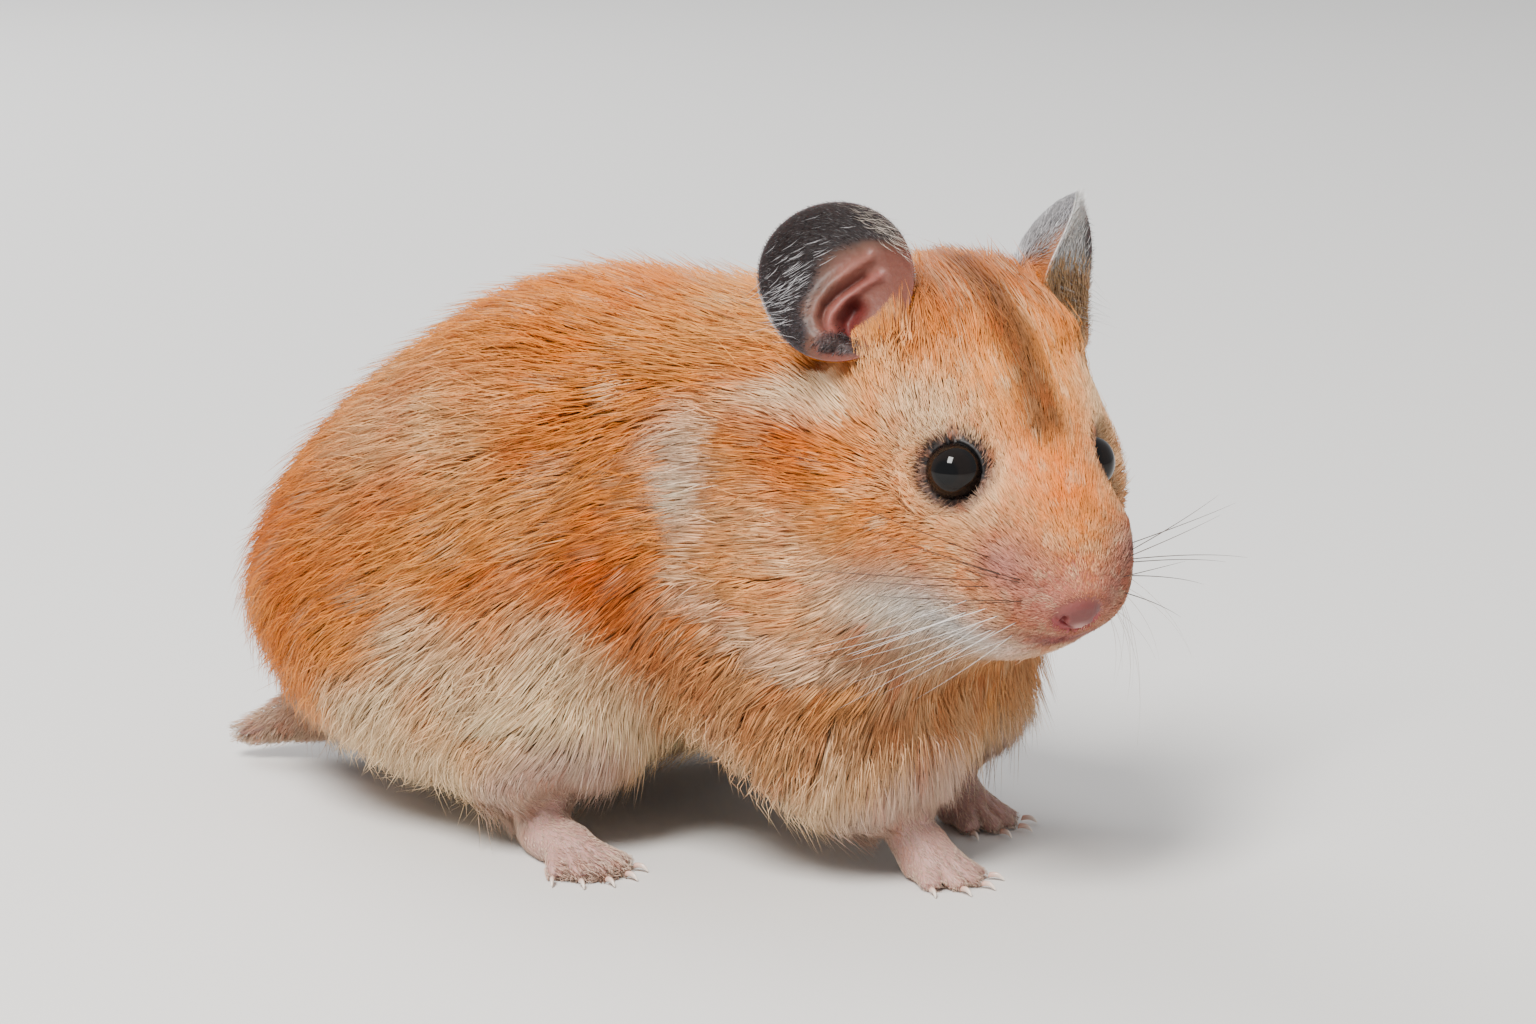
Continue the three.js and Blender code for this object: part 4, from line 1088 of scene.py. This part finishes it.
def ear_coat(field, side):
    """Short hair on both faces of an ear, silver hairs over its bowl and a pale fringe on its rim; on the far ear the
    hairs of the bowl seen edge-on are painted white, a painted sheen.
    """
    axes, _ = ear_frame(side)
    batches = []

    def facing(p, normals):
        return normals @ axes[:, 2]

    def batch(count, weight, lie_in_ear, length, width, height, colour, seed, swerve=0.2, outer=False):
        def over(p):
            return weight(to_ear(p, side)) + 1e-6

        tufts = Tufts(field["outer" if outer else "inner"], int(count * DENSITY), over, seed)
        e = to_ear(tufts.root, side)
        lie = lie_in_ear(e) @ axes.T
        lie = unit(lie - tufts.normal * (lie * tufts.normal).sum(1, keepdims=True))
        reach = np.hypot(e[:, 0] / EAR_WIDTH, (e[:, 1] - EAR_RISE) / EAR_HEIGHT)
        size = np.interp(reach, [0.8, 0.97], [1.0, 0.35])
        tufts.lay(lie, size * length * tufts.vary(0.6, 1.15), size * width, size * height * tufts.vary(0.5, 1.4), swerve)
        tone = 1 + 0.18 * tufts.rng.normal(size=(tufts.count, 1))
        base = np.clip(colour(e, tufts) * tone, 0, 1)
        # darker roots: painted shade low in the hair
        batches.append((tufts.shapes(), tufts.colours(base * 0.6, base * 0.9, np.clip(base * 1.1, 0, 1)), tufts.uv))

    def outward(e):
        return unit(np.stack([e[:, 0] * 0.5, e[:, 1] - 1.0, np.zeros(len(e))], 1))

    def back_colour(e, tufts):
        streaks = 0.25 + 0.5 * step(-0.6, 0.8, ripple(e * [1.6, 0.4, 1], 2.5, 61))
        grey = mix(np.tile(COAT["ash"], (len(e), 1)), COAT["silver"], streaks)
        return mix(np.tile(COAT["gold"], (len(e), 1)), grey, step(-1, 3, e[:, 1] + 0.5 * e[:, 0] + ripple(e, 3, 62)))

    # where the far ear's hairs are painted white as a painted sheen
    def lit(e):
        return seen_along(e) if side == "left" else np.zeros(len(e))

    # dark hairs, painted white on the far ear where its painted sheen lies
    def dark(e, tufts):
        hairs = mix(np.tile(COAT["dusk"], (len(e), 1)), COAT["silver"], 0.35 * tufts.rng.uniform(size=len(e)) ** 3)
        return mix(mix(hairs, COAT["white"], 0.9 * lit(e)), COAT["tan"], lit(e) * far_fringe(e))

    def gold(e, tufts):
        return np.tile(mix(COAT["tan"], COAT["cream"], 0.5), (len(e), 1))

    # silver on the near ear, painted white on the far ear as a painted sheen
    def pale(e, tufts):
        return np.tile(COAT["silver" if side == "right" else "white"], (len(e), 1))

    def fringe(e, tufts):
        return mix(np.tile(mix(COAT["cream"], COAT["silver"], 0.6), (len(e), 1)), COAT["ash"], (tufts.rng.uniform(size=len(e)) < 0.4) * 0.8)

    def dark_zone(e):
        return step(-0.5, 1.0, e[:, 1] - np.interp(e[:, 0], *np.transpose(PINK_EDGE)))

    streaming = unit(np.array([-0.85, 0.5, 0.1]))
    upright = unit(np.array([0.9, 0.3, 0.2]))
    seed = 80 if side == "right" else 90
    batch(6000, lambda e: step(-5, -2, e[:, 1]), outward, 1.5, 0.1, 0.2, back_colour, seed, outer=True)
    batch(2600, dark_zone, lambda e: unit(outward(e) * [1, 0.6, 0] - [0.5, 0, 0]), 1.0, 0.05, 0.12, dark, seed + 1)
    batch(150, lambda e: dark_zone(e) * hump(e, (-1, 7, -2), (4, 2.5, 5)), lambda e: np.tile(streaming, (len(e), 1)),
          4.8, 0.045, 0.5, pale, seed + 2, swerve=0.12)
    if side == "left":
        # extra upright hairs on the far ear, painted white as a painted sheen
        batch(2200, lambda e: lit(e) * step(1, 4, 0.89 * e[:, 0] + 0.46 * e[:, 1]), lambda e: np.tile(upright, (len(e), 1)),
              2.4, 0.1, 0.35, pale, seed + 5, swerve=0.12)
        batch(2200, lambda e: lit(e) * far_fringe(e), lambda e: np.tile(upright, (len(e), 1)), 2.8, 0.11, 0.5, gold, seed + 6)
    batch(150, lambda e: step(5.9, 7.4, e[:, 0]) * step(-1, 1, e[:, 1]),
          lambda e: np.tile(unit(np.array([0.35, -0.9, 0.25])), (len(e), 1)), 4.2, 0.042, 0.6, fringe, seed + 3)
    batch(200, lambda e: dent(near_line(e[:, :2], ANTITRAGUS), 1.0), lambda e: np.tile(unit(np.array([-0.6, 0.2, 0.6])), (len(e), 1)),
          1.5, 0.07, 0.5, dark, seed + 4)
    return batches


# ---------------------------------------------------------------- whiskers


def hair_strand(points, width):
    """A closed, tapering three-sided hair along a line of points."""
    count = len(points)
    ahead = unit(np.gradient(points, axis=0))
    side = unit(np.cross(ahead, [0.13, 0.27, 0.95]))
    up = np.cross(side, ahead)
    taper = width * (1 - 0.85 * np.linspace(0, 1, count) ** 1.3)
    rings = []
    for k in range(3):
        angle = 2 * math.pi * k / 3
        rings.append(points + (side * math.cos(angle) + up * math.sin(angle)) * taper[:, None] / 2)
    verts = np.stack(rings, 1).reshape(-1, 3)
    faces = [(0, 2, 1), (3 * count - 3, 3 * count - 2, 3 * count - 1)]
    for i in range(count - 1):
        for k in range(3):
            a, b = 3 * i + k, 3 * i + (k + 1) % 3
            faces += [(a, b, b + 3), (a, b + 3, a + 3)]
    return verts, np.array(faces)


def whisker_line(surface, root, start, bend, length, steps=9):
    """Points from the skin near root, in the head frame, that curve from start towards bend."""
    spot, normal = surface.nearest(from_head(root)[None])
    t = np.linspace(0, 1, steps)[:, None]
    line = (start * t + bend * t ** 2) * length
    return spot[0] - normal[0] * 0.3 + line @ HEAD_AXES.T


def whiskers(surface):
    rng = np.random.default_rng(101)
    strands, colours = [], []

    def add(line, width, colour):
        verts, faces = hair_strand(line, width)
        strands.append((verts, faces))
        colours.append(np.tile(linear(colour), (len(verts), 1)) * rng.uniform(0.8, 1.2))

    for side, sign in SIDES.items():
        for row, column, root in follicles(side):
            for _ in range(2 if row > 2 else 1):
                rise = 0.16 - 0.32 * row + rng.normal() * 0.08
                back = (-0.15 - 0.1 * column if side == "right" else 0.1 - 0.05 * column) + rng.normal() * 0.08
                start = unit(np.array([back, sign * (0.95 if row < 2 else 0.7), rise]))
                bend = np.array([-0.3 if side == "right" else -0.12, -0.05 * sign, -0.12 - 0.05 * row])
                length = (11 + 3.6 * column) * rng.uniform(0.85, 1.15)
                colour = (70, 46, 34) if row < 2 else (236, 228, 220)
                jitter = rng.normal(size=3) * 0.3
                width = 0.13 if row < 2 else 0.075
                add(whisker_line(surface, root + jitter, start, bend, length), width, colour)
        for root, start, bend, length in (
            ((8.6, 9.2, 6.6), (-0.75, 0.25, 0.6), (-0.2, 0.1, -0.15), 9),
            ((7.2, 10.4, 6.2), (-0.8, 0.4, 0.45), (-0.2, 0.1, -0.15), 10),
            ((6.0, 11.2, 5.6), (-0.8, 0.5, 0.3), (-0.2, 0.05, -0.2), 8),
            ((12.8, 6.6, 5.6), (-0.55, 0.1, 0.8), (-0.3, 0.1, -0.2), 5),
            ((3.0, 14.6, -3.0), (-0.6, 0.8, 0.1), (-0.3, 0.1, -0.3), 9),
            ((4.0, 15.2, -5.0), (-0.6, 0.8, -0.1), (-0.3, 0.1, -0.3), 8),
        ):
            flip = np.array([1, sign, 1])
            add(whisker_line(surface, np.array(root) * flip, unit(np.array(start)) * flip, np.array(bend) * flip, length),
                0.1, (64, 44, 34))
    points, faces = stacked(strands)
    mesh = mesh_of("whiskers", points, faces)
    paint(mesh, np.concatenate(colours))
    material = painted_material("whisker", 0.35, 0.05, 500)
    obj = object_of("whiskers", mesh, material)
    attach(obj, "root")


# ---------------------------------------------------------------- claws

CLAW_RINGS = 12
CLAW_SPOKES = 12


def claw_form(name):
    """A curved, pointed claw in the space of its solid, from the toe to the tip."""
    points, _ = solid_of(name)
    foot = FEET[next(key for key in FEET if key in name)]
    centre = points.mean(0)
    _, _, axes = np.linalg.svd(points - centre)
    along = axes[0] * np.sign((centre - foot) @ axes[0])
    reach = (points - centre) @ along
    start, end = centre + along * reach.min(), centre + along * reach.max()
    across = points - centre - reach[:, None] * along
    radius = np.linalg.norm(across, axis=1).max()
    side = unit(np.cross(along, [0, 0, 1]))
    up = np.cross(side, along)
    rings = []
    for t in np.linspace(0, 1, CLAW_RINGS):
        middle = start * (1 - t) + end * t + up * radius * (0.9 * math.sin(math.pi * t * 0.9) - 0.35)
        size = radius * 0.8 * math.sqrt(max(1 - t ** 1.5, 0.004))
        turns = np.linspace(0, 2 * math.pi, CLAW_SPOKES, endpoint=False)
        ring = middle + np.cos(turns)[:, None] * side * size * 0.8 + np.sin(turns)[:, None] * up * size
        rings.append(ring)
    verts = np.concatenate(rings + [[rings[0].mean(0)], [rings[-1].mean(0)]])
    i, j = (grid.ravel() for grid in np.meshgrid(np.arange(CLAW_RINGS - 1), np.arange(CLAW_SPOKES), indexing="ij"))
    k = (j + 1) % CLAW_SPOKES
    quads = np.stack([i * CLAW_SPOKES + j, i * CLAW_SPOKES + k, (i + 1) * CLAW_SPOKES + k, (i + 1) * CLAW_SPOKES + j], 1)
    spokes = np.arange(CLAW_SPOKES)
    ahead = (spokes + 1) % CLAW_SPOKES
    last = (CLAW_RINGS - 1) * CLAW_SPOKES
    cap_low = np.stack([np.full(CLAW_SPOKES, len(verts) - 2), ahead, spokes], 1)
    cap_high = np.stack([np.full(CLAW_SPOKES, len(verts) - 1), last + spokes, last + ahead], 1)
    shade = mix(np.tile(linear((216, 168, 150)), (CLAW_RINGS, 1)), linear((238, 226, 212)), np.linspace(0, 1, CLAW_RINGS))
    shade = np.concatenate([np.repeat(shade, CLAW_SPOKES, axis=0), shade[[0, -1]]])
    verts[:, 2] = np.maximum(verts[:, 2], FLOOR_GAP)
    return verts, np.concatenate([halved(quads), cap_low, cap_high]), shade


def claws():
    material = painted_material("claw", 0.25, 0.05, 900)
    for foot in FEET:
        names = [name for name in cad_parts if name.startswith("claw") and foot in name]
        forms = [claw_form(name) for name in names]
        points, faces = stacked([form[:2] for form in forms])
        mesh = mesh_of(f"claws_{foot}", points, faces)
        paint(mesh, np.concatenate([form[2] for form in forms]))
        obj = object_of(f"claws_{foot}", mesh, material)
        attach(obj, "root")
        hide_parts(*names)


# ---------------------------------------------------------------- eyes

EYE_SPOKES = 72
EYE_RINGS = 48


def eye_ball(side):
    """A ball with a slight cornea, its iris and pupil painted by angle from its axis."""
    axes = eye_axes(side)
    angle = np.linspace(0, math.pi, EYE_RINGS + 2)[1:-1]
    turns = np.linspace(0, 2 * math.pi, EYE_SPOKES, endpoint=False)
    a, b = (grid.ravel() for grid in np.meshgrid(angle, turns, indexing="ij"))
    radius = EYE_RADIUS - 0.12 + 0.12 * step(1.15, 0.5, a)
    ring = np.stack([np.sin(a) * np.cos(b), np.sin(a) * np.sin(b), np.cos(a)], 1) * radius[:, None]
    poles = np.array([[0, 0, EYE_RADIUS], [0, 0, 0.12 - EYE_RADIUS]])
    points = np.concatenate([ring, poles]) @ axes.T + EYES[side]
    i, j = (grid.ravel() for grid in np.meshgrid(np.arange(EYE_RINGS - 1), np.arange(EYE_SPOKES), indexing="ij"))
    k = (j + 1) % EYE_SPOKES
    quads = np.stack([i * EYE_SPOKES + j, (i + 1) * EYE_SPOKES + j, (i + 1) * EYE_SPOKES + k, i * EYE_SPOKES + k], 1)
    spokes = np.arange(EYE_SPOKES)
    ahead = (spokes + 1) % EYE_SPOKES
    last = (EYE_RINGS - 1) * EYE_SPOKES
    front = np.stack([np.full(EYE_SPOKES, len(points) - 2), spokes, ahead], 1)
    back = np.stack([np.full(EYE_SPOKES, len(points) - 1), last + ahead, last + spokes], 1)
    iris = step(0.35, 0.5, a) * step(1.15, 0.85, a)
    colours = mix(np.tile(linear((7, 7, 8)), (len(a), 1)), linear((20, 15, 13)), iris)
    mesh = mesh_of(f"eye_ball_{side}", points, np.concatenate([halved(quads), front, back]))
    paint(mesh, np.concatenate([colours, [linear((9, 8, 9)), linear((9, 8, 9))]]))
    return mesh


def eyes():
    material = painted_material("eye", 0.03, 0.3, 1200, Specular_IOR_Level=0.22)
    for side in SIDES:
        obj = object_of(f"eye_ball_{side}", eye_ball(side), material)
        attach(obj, "root")
        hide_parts(f"eye_{side}")


# ---------------------------------------------------------------- materials


def new_material(name, roughness, **sockets):
    material = bpy.data.materials.new(name)
    material.use_nodes = True
    shader = material.node_tree.nodes["Principled BSDF"]
    shader.inputs["Roughness"].default_value = roughness
    for socket, value in sockets.items():
        shader.inputs[socket.replace("_", " ")].default_value = value
    return material, material.node_tree, shader


def painted_material(name, roughness, grain, grain_scale, bump=0.0, **sockets):
    """The mesh's own colours broken up by a fine noise, with an optional bump from the same noise."""
    material, tree, shader = new_material(name, roughness, **sockets)
    colour = tree.nodes.new("ShaderNodeAttribute")
    colour.attribute_name = "shade"
    noise = tree.nodes.new("ShaderNodeTexNoise")
    noise.inputs["Scale"].default_value = grain_scale
    noise.inputs["Detail"].default_value = 3
    place = tree.nodes.new("ShaderNodeTexCoord")
    tree.links.new(place.outputs["Object"], noise.inputs["Vector"])
    spread = tree.nodes.new("ShaderNodeMapRange")
    spread.inputs["To Min"].default_value = 1 - grain
    spread.inputs["To Max"].default_value = 1 + grain
    tree.links.new(noise.outputs["Fac"], spread.inputs["Value"])
    product = tree.nodes.new("ShaderNodeVectorMath")
    product.operation = "MULTIPLY"
    tree.links.new(colour.outputs["Color"], product.inputs[0])
    tree.links.new(spread.outputs["Result"], product.inputs[1])
    tree.links.new(product.outputs["Vector"], shader.inputs["Base Color"])
    if bump:
        relief = tree.nodes.new("ShaderNodeBump")
        relief.inputs["Strength"].default_value = bump
        relief.inputs["Distance"].default_value = 0.0002
        tree.links.new(noise.outputs["Fac"], relief.inputs["Height"])
        tree.links.new(relief.outputs["Normal"], shader.inputs["Normal"])
    return material


# ---------------------------------------------------------------- build


def unwrapped(obj):
    """Unwraps the skin and returns the uv of each triangle's corners."""
    bpy.context.view_layer.objects.active = obj
    obj.select_set(True)
    layer = obj.data.uv_layers.new(name="OFBake")
    bpy.ops.object.mode_set(mode="EDIT")
    bpy.ops.mesh.select_all(action="SELECT")
    bpy.ops.uv.smart_project(angle_limit=math.radians(66), island_margin=0.002)
    bpy.ops.object.mode_set(mode="OBJECT")
    uv = np.empty(len(obj.data.loops) * 2)
    obj.data.uv_layers[layer.name].data.foreach_get("uv", uv)
    return uv.reshape(-1, 3, 2)


def build_skin():
    """The skin in one piece, and the fields on it that tufts grow on."""
    points, quads = body_form()
    points, tris = with_toes(*with_muzzle(points, quads))
    points = with_ear_hollows(with_sockets(points))
    surface = Surface(points, tris)
    parts, furred = {"body": (points, tris)}, {"body": np.ones(len(tris), bool)}
    colours = [body_skin_colour(points)]
    ear, ear_faces, inner_count = ear_form()
    inner_vertex = np.zeros(len(ear), bool)
    inner_vertex[ear_faces[:inner_count].ravel()] = True
    ear_colour = np.where(inner_vertex[:, None], ear_skin_colour(ear, True), ear_skin_colour(ear, False))
    for side in SIDES:
        placed = from_ear(ear, side)
        parts[f"ear_{side}"] = (placed, outward(placed, ear_faces))
        # painted sheen: the far ear's inner face, seen along its silver hairs, is painted white; the head's tan fur
        # runs up over its base
        far = (side == "left") * inner_vertex * seen_along(ear)
        shade = mix(ear_colour, COAT["white"], 0.85 * far)
        colours.append(mix(shade, COAT["tan"], far * far_fringe(ear)))
    for side in SIDES:
        ring, faces, shade, outside = lid_form(side, surface)
        parts[f"lid_{side}"] = (ring, outward(ring, faces))
        furred[f"lid_{side}"] = outside
        colours.append(shade)
    mesh = mesh_of("skin", *stacked(parts.values()))
    paint(mesh, np.concatenate(colours))
    material = painted_material("skin", 0.55, 0.1, 1500, bump=0.5, Subsurface_Weight=0.2, Subsurface_Scale=0.001)
    skin = object_of("skin", mesh, material)
    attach(skin, "root")
    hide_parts(*FLESH)
    uv = unwrapped(skin)
    fields, start = {}, 0
    for name, (part, faces) in parts.items():
        own = uv[start:start + len(faces)]
        start += len(faces)
        if name.startswith("ear"):
            fields[name] = {"inner": Field(part, faces[:inner_count], own[:inner_count]),
                            "outer": Field(part, faces[inner_count:], own[inner_count:])}
        else:
            fields[name] = Field(part, faces[furred[name]], own[furred[name]])
    return fields, surface


def build_coat(fields, surface):
    material = painted_material("fur", 0.55, 0.08, 900, Specular_IOR_Level=0.16)
    batches = [main_coat(fields["body"], surface), guard_hairs(fields["body"], surface)]
    batches += [lid_hairs(fields[f"lid_{side}"], side) for side in SIDES]
    for side in SIDES:
        batches += ear_coat(fields[f"ear_{side}"], side)
    coat_pieces("coat", batches, material)


# ---------------------------------------------------------------- camera, floor and light

VIEW_AZIMUTH = math.radians(32)
VIEW_ELEVATION = math.radians(12)
VIEW_DISTANCE = 480.0
PIXELS_PER_MM = 9.81
FRAME_WIDTH = 1536
SENSOR = 36.0
AIM_FROM_EYE = np.array([-19.54, -5.30, -5.01])  # what the camera looks at, from the near eye
VIEW_RIGHT = np.array([math.cos(VIEW_AZIMUTH), math.sin(VIEW_AZIMUTH), 0])
TOWARD_VIEWER = np.array([math.sin(VIEW_AZIMUTH) * math.cos(VIEW_ELEVATION),
                          -math.cos(VIEW_AZIMUTH) * math.cos(VIEW_ELEVATION), math.sin(VIEW_ELEVATION)])
VIEW_UP = np.cross(TOWARD_VIEWER, VIEW_RIGHT)


def place_camera():
    data = bpy.data.cameras.new("camera")
    data.sensor_width = SENSOR
    data.lens = SENSOR * VIEW_DISTANCE * PIXELS_PER_MM / FRAME_WIDTH
    data.clip_start = 0.01
    camera = bpy.data.objects.new("camera", data)
    bpy.context.collection.objects.link(camera)
    aim = centre_of("eye_right") + AIM_FROM_EYE
    camera.location = (aim + TOWARD_VIEWER * VIEW_DISTANCE) * MM
    camera.rotation_euler = (math.pi / 2 - VIEW_ELEVATION, 0, VIEW_AZIMUTH)
    bpy.context.scene.camera = camera


def light(name, right, up, near, distance, size, power, colour):
    """A soft light in a direction given as the photographer sees it, aimed at the animal's middle."""
    middle = np.array([0.01, 0, 0.035])
    place = middle + unit(VIEW_RIGHT * right + VIEW_UP * up + TOWARD_VIEWER * near) * distance
    data = bpy.data.lights.new(name, "AREA")
    data.shape = "RECTANGLE"
    data.size, data.size_y = size
    data.energy = power
    data.color = colour
    lamp = bpy.data.objects.new(name, data)
    lamp.location = place
    lamp.rotation_euler = Vector(middle - place).to_track_quat("-Z", "Y").to_euler()
    bpy.context.collection.objects.link(lamp)


def set_stage():
    reach = 3.0
    floor_mesh = bpy.data.meshes.new("floor")
    floor_mesh.from_pydata([(-reach, -reach, 0), (reach, -reach, 0), (reach, reach, 0), (-reach, reach, 0)],
                           [], [(0, 1, 2, 3)])
    material, _, shader = new_material("floor", 0.8)
    shader.inputs["Base Color"].default_value = (0.72, 0.70, 0.67, 1)
    object_of("floor", floor_mesh, material)
    world = bpy.data.worlds.new("studio")
    world.use_nodes = True
    world.node_tree.nodes["Background"].inputs["Color"].default_value = (0.93, 0.96, 1.0, 1)
    world.node_tree.nodes["Background"].inputs["Strength"].default_value = 0.68
    bpy.context.scene.world = world
    light("key", -0.26, 0.66, 0.7, 0.9, (0.26, 0.42), 16, (1.0, 0.98, 0.95))
    light("back", -0.5, 0.7, -0.6, 1.0, (0.6, 0.6), 8, (0.95, 0.97, 1.0))


fields, surface = build_skin()
build_coat(fields, surface)
whiskers(surface)
claws()
eyes()
place_camera()
set_stage()
